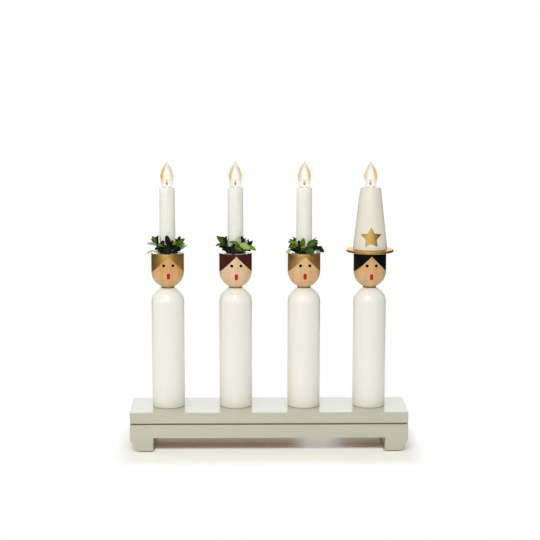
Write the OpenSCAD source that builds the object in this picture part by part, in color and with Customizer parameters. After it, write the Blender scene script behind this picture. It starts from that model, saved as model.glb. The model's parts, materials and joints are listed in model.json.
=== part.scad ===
// Electric advent candlestick: four turned choir figures on a painted wooden bench.
// Each figure carries a candle sleeve with a small screw lamp. Three wear a leaf wreath,
// and the last one wears a cone hat with a star.
// Millimetres, +Z up, the figures look along -Y, and the origin is on the table
// under the middle of the bench.

/* [Figures] */
// Distance from the outer figures' axes to the ends of the bench
end_margin = 43.4; // [38:0.2:60]
// Diameter of the turned bodies
body_d = 38; // [34:0.5:44]
// Height of a body up to the neck
body_h = 140; // [100:1:180]
// Chamfer round the foot of a body
body_chamfer = 1; // [0.5:0.1:2]
// Diameter of the heads
head_d = 37.5; // [34:0.5:44]
// Height of a head from the neck to its flat top
head_h = 40.8; // [36:0.2:50]
// Diameter of the neck that stands on the body
neck_d = 15.5; // [14.5:0.1:18]
// How far each head is turned to its left, in degrees
head_turn = [5, 3, 2, 2.5]; // [-15:0.5:15]

/* [Faces and hair] */
// Thickness of the paint films
film_t = 0.15; // [0.1:0.05:0.4]
// Depth of the parting's peak below the top of the head
parting_drop = 2.35; // [1:0.05:6]
// Diameter of an eye
eye_d = 3.1; // [2:0.1:4]
// Distance between the eyes
eye_pitch = 10.7; // [8:0.1:14]
// Height of the eyes above the widest line of the head
eye_h = 9.3; // [5:0.1:12]
// Width of the mouth
mouth_w = 3.5; // [2:0.1:5]
// Height of the mouth
mouth_h = 6.7; // [5:0.1:9]
// Depth of the mouth's middle below the widest line of the head
mouth_drop = 3.6; // [2:0.1:6]

/* [Bench] */
// Length of the bench along the row
bench_w = 320.8; // [310:0.2:380]
// Depth of the bench from front to back
bench_depth = 76; // [70:1:100]
// Thickness of the top board
top_board_t = 12.8; // [10:0.2:20]
// Height of the rail and its feet together, without the shadow step
rail_h = 31; // [28:0.5:40]
// Height of the shadow step between the two boards
shadow_h = 1.5; // [1:0.1:4]
// How far the shadow step is set back
shadow_setback = 3; // [1:0.5:6]
// Height of the passage under the bench
passage_h = 15.5; // [8:0.5:16]
// Width of a foot where it leaves the bench
foot_w = 26.5; // [20:0.5:34]
// Width of the slant on the outside of a foot
foot_slant_w = 8.6; // [4:0.2:10]
// Height of the slant on the outside of a foot
foot_slant_h = 12.8; // [6:0.2:15]
// Chamfer along the edges of the boards
board_chamfer = 0.6; // [0.3:0.1:1.5]
// Thickness of the felt pads
pad_t = 1; // [0.5:0.1:3]
// Diameter of the felt pads
pad_d = 12; // [8:0.5:14]

/* [Wiring] */
// Width of the wire channel in the bench
channel_w = 20; // [18.5:0.5:24]
// Depth of the wire channel in the bench
channel_depth = 10; // [9.5:0.5:11.5]
// Wall that the channel leaves at the back of the bench
back_wall = 5; // [4:0.5:8]
// Bore of the inlet bush
bush_bore_d = 4.8; // [3:0.1:6]
// Diameter of an insulated wire
wire_d = 1.2; // [0.8:0.1:1.3]
// Distance between the two wires in a stem
wire_pitch = 4; // [3.2:0.1:4.2]
// Radius of the wires' bends
wire_bend_r = 3; // [2:0.5:3]

/* [Stems] */
// Outer diameter of the threaded stem tube
stem_d = 8; // [8:0.1:9]
// Bore of the threaded stem tube
stem_bore_d = 6.4; // [6.2:0.1:6.6]
// How far the stem tube reaches into the lampholder
stem_grip = 8; // [5:0.5:12]
// Width of the nuts across their flats
nut_af = 12; // [11.5:0.1:12.5]
// Thickness of the nuts
nut_t = 3; // [2:0.1:3]
// Diameter of the washers under the top board
washer_d = 16; // [14:0.5:18]
// Thickness of the washers
washer_t = 1.2; // [0.8:0.1:1.6]

/* [Candles] */
// Diameter of the candle sleeve at its foot
sleeve_foot_d = 18.4; // [17.8:0.1:20]
// Diameter of the candle sleeve at its top
sleeve_top_d = 17.5; // [16.5:0.1:18]
// Bore of the candle sleeve
sleeve_bore_d = 14.8; // [14.6:0.1:15.2]
// Bore of the candle sleeve's lip
lip_bore_d = 13.4; // [13:0.1:13.8]
// Height of the candle sleeve's lip
lip_h = 2.5; // [1.5:0.1:3]
// Height of the candle sleeve above the head
sleeve_show_h = 75.6; // [60:0.2:110]
// Depth of the sleeve's socket in the head
sleeve_socket_h = 3; // [2:0.1:5]

/* [Lamps] */
// Widest diameter of the flame-shaped glass
glass_d = 14.9; // [14:0.1:16]
// Height of the glass above the candle sleeve
glass_show_h = 29.6; // [24:0.2:34]
// Height of the glass's widest place above the candle sleeve
glass_belly_h = 12.8; // [10:0.2:15]
// Diameter of the glass at the candle sleeve's top
glass_neck_d = 12.4; // [11.5:0.1:12.5]
// Thickness of the glass
glass_t = 0.6; // [0.4:0.1:0.9]
// Diameter of the lamp's screw cap
cap_d = 9.5; // [9.2:0.1:9.6]
// Length of the lamp's screw cap
cap_h = 12; // [10:0.5:14]
// Rise of a lamp for one turn of its screw
thread_lead = 1.814; // [1.5:0.001:2.2]

/* [Wreaths] */
// Diameter of the wreath's wire ring, at the middle of the wire
wreath_ring_d = 20.8; // [20.6:0.1:24]
// Diameter of the wreath's wire
wreath_wire_d = 1.6; // [1:0.1:1.8]
// Length of a leaf
leaf_l = 12; // [9:0.5:15]
// Width of a leaf
leaf_w = 6.8; // [4:0.2:8]
// Thickness of a leaf at its midrib
leaf_t = 0.5; // [0.3:0.1:1]
// Number of leaves round the back half of the ring
back_leaves = 12; // [6:1:16]
// How steeply the low, middle and high leaves at the back rise, in degrees
back_rise = [12, 40, 66]; // [5:1:75]

/* [Hat] */
// Diameter of the brim
brim_d = 54.4; // [48:0.2:64]
// Thickness of the brim
brim_t = 2.8; // [1.5:0.1:4]
// Height of the land under the brim, which rests on the head
brim_land_h = 1; // [0.5:0.1:2]
// Diameter of the land under the brim
brim_land_d = 30; // [24:1:36]
// Diameter of the cone at its foot
cone_foot_d = 40; // [36:0.5:44]
// Diameter of the cone at its top
cone_top_d = 23.6; // [22:0.2:28]
// Chamfer round the foot of the cone
cone_edge = 1; // [0.3:0.1:1.5]
// Distance from a star's middle to its points
star_r = 12.4; // [8:0.2:13]
// Inner radius of the star, as a share of the outer one
star_inner_share = 0.53; // [0.4:0.01:0.6]
// Height of the star's middle above the foot of the cone
star_h = 15; // [13.4:0.2:40]
// Thickness of the star foil
star_t = 0.25; // [0.1:0.05:0.5]

/* [Hidden] */
$fn = 96;
hatted = len(head_turn) - 1;
figures = [0 : hatted];
wreathed = [0 : hatted - 1];

// One overrun serves every cut that leaves a solid
over = 1;

// Clearances, each on the radius
running_gap = 0.08;  // the screw cap in its shell, and the pin in its guide
thread_gap = 0.05;   // nuts and sockets on the threaded stem, and screws in wood
drill_gap = 0.2;     // stems and screws through drilled wood
seat_gap = 0.1;      // spigots, sleeves and bushes in their sockets
slip_gap = 0.35;     // what lifts off over a candle sleeve
lay_gap = 0.3;       // what lies loose on a head

// Hand drilling: how far each figure stands off the even row
drift_shares = [0, 0.006, 0.022, 0];
figure_pitch = (bench_w - 2 * end_margin) / hatted;
function figure_x(i) = (i - hatted / 2 + drift_shares[i]) * figure_pitch;

// Heights of the bench
rail_z = pad_t;
rail_top_z = rail_z + rail_h;
board_z = rail_top_z + shadow_h;
bench_top_z = board_z + top_board_t;
channel_z = board_z - channel_depth;
wire_z = channel_z + 1.5 * wire_d;

// Body: a cylinder under a half ball that is cut flat at the neck
body_r = body_d / 2;
neck_r = neck_d / 2;
neck_rest_w = 0.8;
body_flat_r = neck_r + neck_rest_w;
body_ball_z = body_h - sqrt(body_r * body_r - body_flat_r * body_flat_r);
stem_bore_r = stem_d / 2 + drill_gap;

// Spigot under the head and its socket in the body
spigot_d = 14;
spigot_h = 5.5;
socket_h = 6;

// Head: a half ball under a cylinder
head_r = head_d / 2;
neck_z = bench_top_z + body_h;
head_top_z = neck_z + head_h;
sleeve_z = head_top_z - sleeve_socket_h;
parting_h = head_h - head_r - parting_drop;
temple_h = 0.5;  // where the hair's slants end at the sides, above the widest line
nut_well_h = 5;
nut_well_gap = 0.35;
nut_corner_r = nut_af / 2 / cos(30);

// Candle sleeve and what stands in it
sleeve_h = sleeve_socket_h + sleeve_show_h;
sleeve_top_z = sleeve_z + sleeve_h;
sleeve_edge = 0.4;

// Lamp, from the sleeve's top down
glass_foot_drop = 3.7;
cap_top_z = sleeve_top_z - glass_foot_drop;
cap_z = cap_top_z - cap_h;
pip_h = 1.2;
pip_z = cap_z - pip_h;
pip_r = 1.2;
cap_r = cap_d / 2;
cap_t = 0.5;
cap_shoulder = 1.2;
glass_foot_r = cap_r + 0.3 * cap_t;

// Lampholder: an insulating sleeve on the stem, with a sprung pin and a thread shell
holder_r = sleeve_bore_d / 2 - seat_gap;
holder_top_z = cap_top_z + 0.5 * cap_t;
shell_t = 0.45;
shell_in_r = cap_r + running_gap;
shell_r = shell_in_r + shell_t;
shell_seat_h = 1.5;
shell_top_z = cap_top_z - shell_seat_h;
shell_z = cap_z - shell_seat_h;
flare_r = glass_neck_d / 2 + seat_gap;
pin_head_t = 1;
pin_head_r = 2.25;
pin_r = 0.9;
pin_head_z = pip_z - pin_head_t;
spring_h = 5.8;
spring_mean_r = 1.6;
spring_wire_d = 0.6;
spring_turns = 4;
spring_chamber_r = 3.2;
web_z = pin_head_z - spring_h;
web_t = 3;
pin_tail = 1.5;
stem_top_z = web_z - web_t;
holder_z = stem_top_z - stem_grip;
wire_hole_gap = 0.1;
wire_end_gap = 0.2;

// Stem tube: from the lampholder down through the nut under the top board
stem_show = 1.5;
stem_z = board_z - washer_t - nut_t - stem_show;

// A lamp is put out by loosening it three quarters of a turn
loose_turn = 270;
loose_rise = thread_lead * loose_turn / 360;

// Two boards are joined by four countersunk screws from below
screw_d = 4;
screw_head_d = 8;
screw_head_t = 2.2;
screw_l = 26;
screw_y = bench_depth / 3;
screw_slot_w = 0.9;
screw_slot_h = 1.1;

// Inlet bush in the back wall, level with the wires
bush_flange_d = 11;
bush_flange_t = 1.5;
bush_neck_d = 8;
bush_lip_d = 9;
bush_lip_t = 1;
splice_room = 3;
splice_r = 1.6;
splice_pitch = 8;
splice_grip = 4;
branch_w = 14;

// Wreath and hat
wreath_ring_r = wreath_ring_d / 2;
wreath_wire_r = wreath_wire_d / 2;
wreath_z = head_top_z + lay_gap + wreath_wire_r;
stalk_d = 0.9;
stalk_tip_share = 0.8;
leaf_fold = 16;
leaf_arch_share = 0.06;
leaf_station_shares = [0.02, 0.2, 0.45, 0.7, 0.88, 0.99];
// How far out and up the low, middle and high leaves at the back start, as shares of the ring's radius
back_out_shares = [0.55, 0.3, 0.12];
back_up_shares = [0.14, 0.5, 0.8];
// Leaves set by hand round the front of each ring. A row holds the angle of the leaf's seat on the
// ring, how far out and up the leaf starts as shares of the ring's radius, its yaw, rise and twist in
// degrees, and its length and width as shares of leaf_l and leaf_w.
front_leaf_shares = [
    [
        [-83, 0.11, 0.76, -137, 77, 31, 1.08, 0.88], [-117, 0.35, 0.72, 9, 66, 54, 0.64, 0.74],
        [-127, 0.75, 0.88, -13, -10, 17, 0.76, 0.74], [-124, 0.5, 0.54, -29, -30, 49, 0.89, 0.79],
        [-80, 0.32, 0.85, -100, -55, 7, 0.93, 1.04], [-67, 0.25, 0.72, -22, 79, -33, 0.61, 0.74],
        [-56, 0.27, 0.64, 0, 66, -47, 0.61, 0.74], [-39, 0.22, 0.66, -6, 42, 69, 1.16, 0.84],
        [-18, 0.26, 0.82, 25, 76, 40, 0.84, 0.74], [-24, 0.55, 0.21, -4, 36, 26, 0.84, 0.74],
        [-150, 0.24, 0.72, -175, 12, -27, 1.02, 0.74], [-169, 0.5, 0.11, -177, -23, -14, 0.8, 0.74],
        [-120, 0.5, 0.18, -165, -4, -33, 0.63, 0.74], [-160, 0.39, 1.08, 167, 59, -29, 0.69, 0.74],
        [-173, 0.22, 0.78, 123, 79, 14, 0.8, 0.74], [-155, 0.13, 0.61, 75, 83, -32, 1.12, 0.74],
        [172, 0.37, 0.87, 174, 47, -25, 0.61, 0.74], [-66, 0.37, 0.56, -17, 3, 50, 0.57, 0.74],
        [-64, 0.49, 0.19, -24, -10, 30, 0.53, 0.74], [4, 0.06, 0.75, 57, 65, 80, 0.55, 0.74],
        [-104, 0.39, 0.58, -164, -28, -38, 0.67, 0.74]
    ],
    [
        [-154, 0.33, 0.84, -174, 48, -71, 1.14, 0.81], [-153, 0.06, 1.08, 172, 40, -55, 0.81, 0.74],
        [-147, 0.33, 0.81, -172, -3, -24, 0.94, 0.74], [-138, 0.29, 0.67, -168, -3, -25, 0.78, 0.74],
        [-160, 0.1, 0.87, 51, 86, -8, 0.79, 0.74], [-74, 0.3, 0.94, -170, 14, -39, 0.97, 0.74],
        [-75, 0.2, 0.86, -30, 84, -43, 0.85, 0.87], [-54, 0.37, 0.99, 180, 79, 55, 0.78, 0.74],
        [-48, 0.22, 0.9, 0, 33, 48, 0.58, 0.74], [-68, 0.29, 0.97, -10, -24, 60, 1.07, 0.99],
        [-37, 0.67, 0.75, -6, -27, 56, 0.9, 0.74], [-110, 0.43, 0.75, -65, -51, 9, 0.94, 1.08],
        [-96, 0.4, 0.75, -12, -30, 59, 0.94, 0.75], [-50, 0.51, 0.3, -11, -5, 21, 0.66, 0.74],
        [-15, 0.46, 0.65, 82, 75, -47, 0.67, 0.74], [-9, 0.6, 0.4, 16, 67, 17, 0.78, 0.74],
        [-55, 0.59, 0.29, -161, -18, -28, 0.53, 0.74], [-127, 0.32, 0.48, -156, -61, -18, 0.43, 0.74],
        [7, 0.2, 0.73, 139, 61, 2, 0.52, 0.74]
    ],
    [
        [-153, 0.07, 0.82, -176, 28, -37, 0.75, 0.74], [-144, 0.23, 0.81, -169, -19, -60, 0.7, 0.95],
        [-147, 0.22, 0.81, 0, 77, 33, 0.44, 0.74], [-118, 0.19, 0.7, 180, 80, 47, 0.59, 0.74],
        [-101, 0.18, 0.55, -37, 82, -36, 0.95, 0.81], [-73, 0.1, 0.7, -2, 30, 66, 1.15, 1.06],
        [-84, 0.35, 0.58, -162, 8, -28, 0.53, 0.74], [-156, 0.55, 0.27, -171, -32, -33, 0.61, 0.74],
        [-108, 0.31, 0.51, -167, 0, -44, 0.56, 0.74], [-122, 0.48, 0.45, -48, -48, 28, 0.59, 0.75],
        [-94, 0.35, 0.55, -30, -38, 45, 0.74, 0.79], [-70, 0.38, 0.57, -50, -40, 28, 0.93, 0.87],
        [-28, 0.06, 0.61, -23, 80, -18, 0.52, 0.74], [-37, 0.5, 0.73, -20, -47, 22, 0.53, 0.74],
        [-25, 0.59, 0.47, -7, -30, 58, 0.76, 0.74], [-44, 0.66, 0.27, -13, -27, 21, 0.6, 0.74],
        [-23, 0.48, 0.51, -15, -19, 14, 0.34, 0.74], [-88, 0.44, 0.29, -127, -27, -3, 0.54, 0.74],
        [-127, 0.32, 0.81, -168, -30, -39, 0.45, 0.74], [-51, 0.55, 0.83, -111, -70, 16, 0.39, 0.74],
        [177, 0.06, 0.92, 135, 65, 6, 0.41, 0.74]
    ]
];
hat_bore_r = sleeve_foot_d / 2 + slip_gap;
cone_z = head_top_z + brim_land_h + brim_t;
cone_h = sleeve_top_z - cone_z;

// ---- Shared functions and shapes ----

// A unit vector along v
function unit(v) = v / norm(v);

// A ring of points round place p, square to direction dir, started from reference ref
function ring(p, dir, ref, r, sides) =
    let (u = unit(cross(dir, ref)), v = unit(cross(u, dir)))
    [for (k = [0 : sides - 1]) p + r * (cos(360 * k / sides) * u + sin(360 * k / sides) * v)];

// The direction of a route at its point i
function heading(route, i) =
    unit(route[min(i + 1, len(route) - 1)] - route[max(i - 1, 0)]);

// Points on an arc in the plane of unit vectors u and v
function arc(c, r, u, v, a0, a1, steps) =
    [for (k = [0 : steps]) let (a = a0 + (a1 - a0) * k / steps) c + r * (cos(a) * u + sin(a) * v)];

// A closed skin over rings that all have the same number of points. Neighbouring walls are
// split along mirrored diagonals, so that a thin folded leaf never cuts through itself.
module skin(rings) {
    sides = len(rings[0]);
    last = len(rings) - 1;
    points = [for (one = rings) each one];
    walls = [
        for (j = [0 : last - 1], k = [0 : sides - 1])
            let (a = j * sides + k, b = j * sides + (k + 1) % sides)
            each k % 2 == 0
                ? [[a, b, a + sides], [b, b + sides, a + sides]]
                : [[a, b + sides, a + sides], [a, b, b + sides]]
    ];
    ends = [
        for (k = [1 : sides - 2])
            each [[0, k + 1, k], [last * sides, last * sides + k, last * sides + k + 1]]
    ];
    polyhedron(points = points, faces = concat(walls, ends), convexity = 4);
}

// A round wire of radius r along a route
module swept_wire(route, r, ref, sides = 8) {
    skin([for (i = [0 : len(route) - 1]) ring(route[i], heading(route, i), ref, r, sides)]);
}

// A box with its length, depth and height, chamfered along every edge
module chamfered_board(w, depth, h, c) {
    intersection() {
        rotate([90, 0, 0])
            linear_extrude(depth + 2 * over, center = true) chamfered_outline(w, h, c);
        rotate([90, 0, 90])
            linear_extrude(w + 2 * over, center = true) chamfered_outline(depth, h, c);
        translate([0, -depth / 2, 0])
            linear_extrude(h) chamfered_outline(w, depth, c);
    }
}

// A rectangle that stands on the X axis, with cut corners
module chamfered_outline(w, h, c) {
    polygon([
        [-w / 2 + c, 0], [w / 2 - c, 0], [w / 2, c], [w / 2, h - c],
        [w / 2 - c, h], [-w / 2 + c, h], [-w / 2, h - c], [-w / 2, c]
    ]);
}

// Puts its children on figure i's axis at height z
module at_figure(i, z = 0) {
    translate([figure_x(i), 0, z]) children();
}

// A stem bore through everything from height z upward
module stem_hole(z, h) {
    translate([0, 0, z - over]) cylinder(h = h + 2 * over, r = stem_bore_r);
}

// ---- Bench ----

// Two feet with slanted outsides, glued under the ends of the rail and painted over
module bench_feet() {
    color([0.72, 0.72, 0.65]) for (side = [-1, 1])
        translate([side * bench_w / 2, bench_depth / 2, rail_z])
            rotate([90, 0, 0]) linear_extrude(bench_depth) polygon([
                [-side * foot_slant_w, 0], [-side * foot_w, 0], [-side * foot_w, passage_h],
                [0, passage_h], [0, foot_slant_h]
            ]);
}

// Places of the four board screws, between the outer pairs of figures
module at_screws() {
    for (side = [-1, 1], row = [-1, 1])
        translate([side * figure_pitch, row * screw_y, rail_z + passage_h]) children();
}

module bench_rail() {
    color([0.72, 0.72, 0.65]) difference() {
        union() {
            translate([-bench_w / 2, -bench_depth / 2, rail_z + passage_h])
                cube([bench_w, bench_depth, rail_h - passage_h]);
            translate([-bench_w / 2 + shadow_setback, -bench_depth / 2 + shadow_setback, rail_top_z - over])
                cube([bench_w - 2 * shadow_setback, bench_depth - 2 * shadow_setback, shadow_h + over]);
        }
        wire_channel();
        translate([0, bench_depth / 2, wire_z]) rotate([90, 0, 0]) {
            translate([0, 0, -over]) cylinder(h = back_wall + 2 * over, d = bush_neck_d);
            translate([0, 0, -over]) cylinder(h = bush_flange_t + over, d = bush_flange_d + 2 * seat_gap);
            translate([0, 0, back_wall])
                cylinder(h = bush_lip_t + splice_room, d = bush_lip_d + 2 * seat_gap);
        }
        at_screws() {
            translate([0, 0, -over]) cylinder(h = rail_h, d = screw_d + 2 * drill_gap);
            cylinder(h = screw_head_t, d1 = screw_head_d + 2 * drill_gap, d2 = screw_d + 2 * drill_gap);
        }
    }
}

// Channel along the row, past the outer nuts, with a branch to the inlet at the back
module wire_channel() {
    channel_l = figure_x(hatted) - figure_x(0) + channel_w;
    translate([-channel_l / 2, -channel_w / 2, channel_z])
        cube([channel_l, channel_w, channel_depth + over]);
    translate([-branch_w / 2, 0, channel_z])
        cube([branch_w, bench_depth / 2 - back_wall, channel_depth + over]);
}

module top_board() {
    color([0.80, 0.80, 0.73]) difference() {
        translate([0, 0, board_z])
            chamfered_board(bench_w, bench_depth, top_board_t, board_chamfer);
        for (i = figures)
            at_figure(i) stem_hole(board_z, top_board_t);
        at_screws() cylinder(h = screw_l + screw_slot_h, d = screw_d + 2 * thread_gap);
    }
}

module board_screws() {
    color([0.75, 0.75, 0.72]) at_screws() difference() {
        union() {
            cylinder(h = screw_head_t, d1 = screw_head_d, d2 = screw_d);
            cylinder(h = screw_l - screw_d, d = screw_d);
            translate([0, 0, screw_l - screw_d]) cylinder(h = screw_d, d1 = screw_d, d2 = screw_slot_w);
        }
        for (a = [0, 90]) rotate(a)
            translate([-screw_d / 2, -screw_slot_w / 2, -over])
                cube([screw_d, screw_slot_w, screw_slot_h + over]);
    }
}

module felt_pads() {
    pad_x = bench_w / 2 - (foot_w + foot_slant_w) / 2;
    pad_y = bench_depth / 2 - pad_d;
    color([0.35, 0.34, 0.32])
        for (side = [-1, 1], row = [-1, 1])
            translate([side * pad_x, row * pad_y, 0]) cylinder(h = pad_t, d = pad_d);
}

// Rubber bush: a flange outside, a neck through the wall and a lip that holds it
module cable_bush() {
    neck_l = back_wall - bush_flange_t;
    color([0.15, 0.15, 0.15])
        translate([0, bench_depth / 2, wire_z]) rotate([90, 0, 0]) difference() {
            union() {
                cylinder(h = bush_flange_t, d = bush_flange_d);
                translate([0, 0, bush_flange_t]) cylinder(h = neck_l, d = bush_neck_d);
                translate([0, 0, back_wall]) cylinder(h = bush_lip_t, d1 = bush_lip_d, d2 = bush_neck_d);
            }
            translate([0, 0, -over]) cylinder(h = back_wall + bush_lip_t + 2 * over, d = bush_bore_d);
        }
}

// ---- Figures ----

module turned_body(i) {
    color([0.93, 0.92, 0.88]) at_figure(i, bench_top_z) difference() {
        union() {
            cylinder(h = body_chamfer, r1 = body_r - body_chamfer, r2 = body_r);
            translate([0, 0, body_chamfer]) cylinder(h = body_ball_z - body_chamfer, r = body_r);
            translate([0, 0, body_ball_z]) intersection() {
                sphere(r = body_r);
                cylinder(h = body_h - body_ball_z, r = body_r + over);
            }
        }
        stem_hole(0, body_h);
        translate([0, 0, body_h - socket_h])
            cylinder(h = socket_h + over, d = spigot_d + 2 * seat_gap);
    }
}

// Outside of a head above the neck, grown by the film's thickness, with its ball at zero
module head_form(grow = 0) {
    cylinder(h = head_h - head_r, r = head_r + grow);
    difference() {
        sphere(r = head_r + grow);
        cylinder(h = head_r + over, r = head_r + over);
    }
}

module turned_head(i) {
    color([0.87, 0.74, 0.58]) at_figure(i, neck_z) rotate(head_turn[i]) difference() {
        union() {
            translate([0, 0, head_r]) head_form();
            cylinder(h = head_r, r = neck_r);
            translate([0, 0, -spigot_h]) cylinder(h = spigot_h, d = spigot_d);
        }
        stem_hole(-spigot_h, spigot_h + head_h);
        translate([0, 0, head_h - sleeve_socket_h])
            cylinder(h = sleeve_socket_h + over, d = sleeve_foot_d + 2 * seat_gap);
        translate([0, 0, head_h - sleeve_socket_h - nut_well_h])
            cylinder(h = nut_well_h + over, r = nut_corner_r + nut_well_gap);
    }
}

// Places its children at the centre of head i's half ball, turned with the head
module at_head(i) {
    at_figure(i, neck_z + head_r) rotate(head_turn[i]) children();
}

// A film on the head, kept where its children are
module film_on_head() {
    intersection() {
        difference() {
            head_form(film_t);
            head_form();
        }
        children();
    }
}

// Hair: a film down to the widest line all round, cut by two slants that meet at the parting
module hair(i) {
    slant_x = head_r * (parting_h + over) / (parting_h - temple_h);
    at_head(i) difference() {
        cylinder(h = head_h - head_r, r = head_r + film_t);
        translate([0, 0, -over]) cylinder(h = head_h - head_r + 2 * over, r = head_r);
        rotate([90, 0, 0]) linear_extrude(head_r + over)
            polygon([[-slant_x, -over], [slant_x, -over], [0, parting_h]]);
    }
}

module hair_gold() {
    color([0.66, 0.50, 0.25]) for (i = [0, 2]) hair(i);
}

module hair_brown() {
    color([0.24, 0.10, 0.07]) hair(1);
}

module hair_black() {
    color([0.05, 0.05, 0.05]) hair(3);
}

module eyes() {
    color([0.05, 0.05, 0.05]) for (i = figures)
        at_head(i) film_on_head()
            for (side = [-1, 1])
                translate([side * eye_pitch / 2, 0, eye_h])
                    rotate([90, 0, 0]) cylinder(h = head_r + over, d = eye_d);
}

// Mouth: an upright slot with round ends
module mouths() {
    straight = mouth_h - mouth_w;
    color([0.78, 0.12, 0.16]) for (i = figures)
        at_head(i) film_on_head()
            translate([0, 0, -mouth_drop]) rotate([90, 0, 0]) linear_extrude(head_r + over) {
                square([mouth_w, straight], center = true);
                for (end = [-1, 1]) translate([0, end * straight / 2]) circle(d = mouth_w);
            }
}

// ---- Stems ----

module stem_tubes() {
    color([0.80, 0.78, 0.70]) for (i = figures)
        at_figure(i, stem_z) difference() {
            cylinder(h = stem_top_z - stem_z, d = stem_d);
            translate([0, 0, -over]) cylinder(h = stem_top_z - stem_z + 2 * over, d = stem_bore_d);
        }
}

// A hexagon nut with its bore on the stem's thread
module hex_nut() {
    difference() {
        cylinder(h = nut_t, r = nut_corner_r, $fn = 6);
        translate([0, 0, -over]) cylinder(h = nut_t + 2 * over, d = stem_d + 2 * thread_gap);
    }
}

// One nut under the top board and one in the head's well on each stem
module stem_nuts() {
    color([0.80, 0.70, 0.40])
        for (i = figures, z = [board_z - washer_t - nut_t, sleeve_z - nut_well_h])
            at_figure(i, z) hex_nut();
}

module base_washers() {
    color([0.75, 0.75, 0.75]) for (i = figures)
        at_figure(i, board_z - washer_t) difference() {
            cylinder(h = washer_t, d = washer_d);
            translate([0, 0, -over]) cylinder(h = washer_t + 2 * over, r = stem_bore_r);
        }
}

// ---- Candles ----

// Tapered sleeve with a lip round the lamp's neck
module candle_sleeve(i) {
    foot_r = sleeve_foot_d / 2;
    top_r = sleeve_top_d / 2;
    bore_r = sleeve_bore_d / 2;
    lip_r = lip_bore_d / 2;
    color([0.93, 0.92, 0.88]) at_figure(i, sleeve_z) rotate_extrude() polygon([
        [bore_r, 0], [foot_r, 0], [top_r, sleeve_h - sleeve_edge],
        [top_r - sleeve_edge, sleeve_h], [lip_r + sleeve_edge, sleeve_h],
        [lip_r, sleeve_h - sleeve_edge], [lip_r, sleeve_h - lip_h], [bore_r, sleeve_h - lip_h]
    ]);
}

// Insulating holder: stem socket, web with its guide, spring chamber and shell seat
module lampholder(i) {
    color([0.90, 0.89, 0.85]) at_figure(i, holder_z) difference() {
        rotate_extrude() polygon([
            [stem_d / 2 + thread_gap, 0], [holder_r, 0],
            [holder_r, holder_top_z - holder_z], [flare_r, holder_top_z - holder_z],
            [flare_r, shell_top_z - holder_z], [shell_r, shell_top_z - holder_z],
            [shell_r, shell_z - holder_z], [spring_chamber_r, shell_z - holder_z],
            [spring_chamber_r, web_z - holder_z], [pin_r + running_gap, web_z - holder_z],
            [pin_r + running_gap, stem_grip], [stem_d / 2 + thread_gap, stem_grip]
        ]);
        for (side = [-1, 1]) translate([side * wire_pitch / 2, 0, stem_grip - over])
            cylinder(h = web_t + 2 * over, d = wire_d + 2 * wire_hole_gap);
    }
}

// Plain shells stand for the rolled threads
module thread_shells() {
    color([0.85, 0.72, 0.42]) for (i = figures)
        at_figure(i, shell_z) difference() {
            cylinder(h = shell_top_z - shell_z, r = shell_r);
            translate([0, 0, -over]) cylinder(h = shell_top_z - shell_z + 2 * over, r = shell_in_r);
        }
}

module contact_pin(i) {
    tail = spring_h + web_t + pin_tail;
    color([0.85, 0.72, 0.42]) at_figure(i, pin_head_z) {
        cylinder(h = pin_head_t, r = pin_head_r);
        translate([0, 0, -tail]) cylinder(h = tail, r = pin_r);
    }
}

// Helical spring from the web up to the head of the pin
module contact_spring(i) {
    wire_r = spring_wire_d / 2;
    low = web_z + wire_r;
    high = pin_head_z - wire_r;
    steps = 8 * spring_turns;
    coil = [
        for (k = [0 : steps]) let (a = 360 * spring_turns * k / steps)
            [spring_mean_r * cos(a), spring_mean_r * sin(a), low + (high - low) * k / steps]
    ];
    color([0.78, 0.78, 0.76]) at_figure(i) swept_wire(coil, wire_r, [0, 0, 1], 6);
}
echo(least_gap_between_spring_turns = (spring_h - spring_wire_d) / spring_turns - spring_wire_d);

// ---- Lamps ----

// Screw cap with a contact pip, hollow above its floor
module lamp_cap(i) {
    color([0.78, 0.76, 0.70]) at_figure(i, pip_z) rotate_extrude() polygon([
        [0, 0], [pip_r, 0], [cap_r - cap_shoulder, pip_h], [cap_r, pip_h + cap_shoulder],
        [cap_r, pip_h + cap_h], [cap_r - cap_t, pip_h + cap_h],
        [cap_r - cap_t, pip_h + cap_shoulder], [0, pip_h + cap_shoulder]
    ]);
}

// Outer radius of the flame shape at height h above the sleeve's top
function glass_r(h) =
    h >= glass_belly_h
    ? let (rise = (h - glass_belly_h) / (glass_show_h - glass_belly_h))
      glass_d / 2 * (cos(90 * rise) + 1 - rise * rise) / 2
    : let (drop = min((glass_belly_h - h) / glass_belly_h, 1))
      glass_d / 2 - (glass_d - glass_neck_d) / 2 * (sin(90 * drop) + (1 - cos(180 * drop)) / 2) / 2;

module lamp_glass(i) {
    steps = 20;
    tip_share = 0.985;
    outside = [for (k = [0 : steps]) let (h = glass_show_h * tip_share * k / steps) [glass_r(h), h]];
    inside = [for (k = [steps - 1 : -1 : 0]) let (h = glass_show_h * tip_share * k / steps)
        [glass_r(h) - glass_t, h]];
    color([1, 0.95, 0.85, 0.5]) at_figure(i, sleeve_top_z) rotate_extrude() polygon(concat(
        [[glass_foot_r - glass_t, -glass_foot_drop], [glass_foot_r, -glass_foot_drop]],
        outside,
        [[0, glass_show_h], [0, glass_show_h * tip_share - 2 * glass_t]],
        inside
    ));
}

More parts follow.
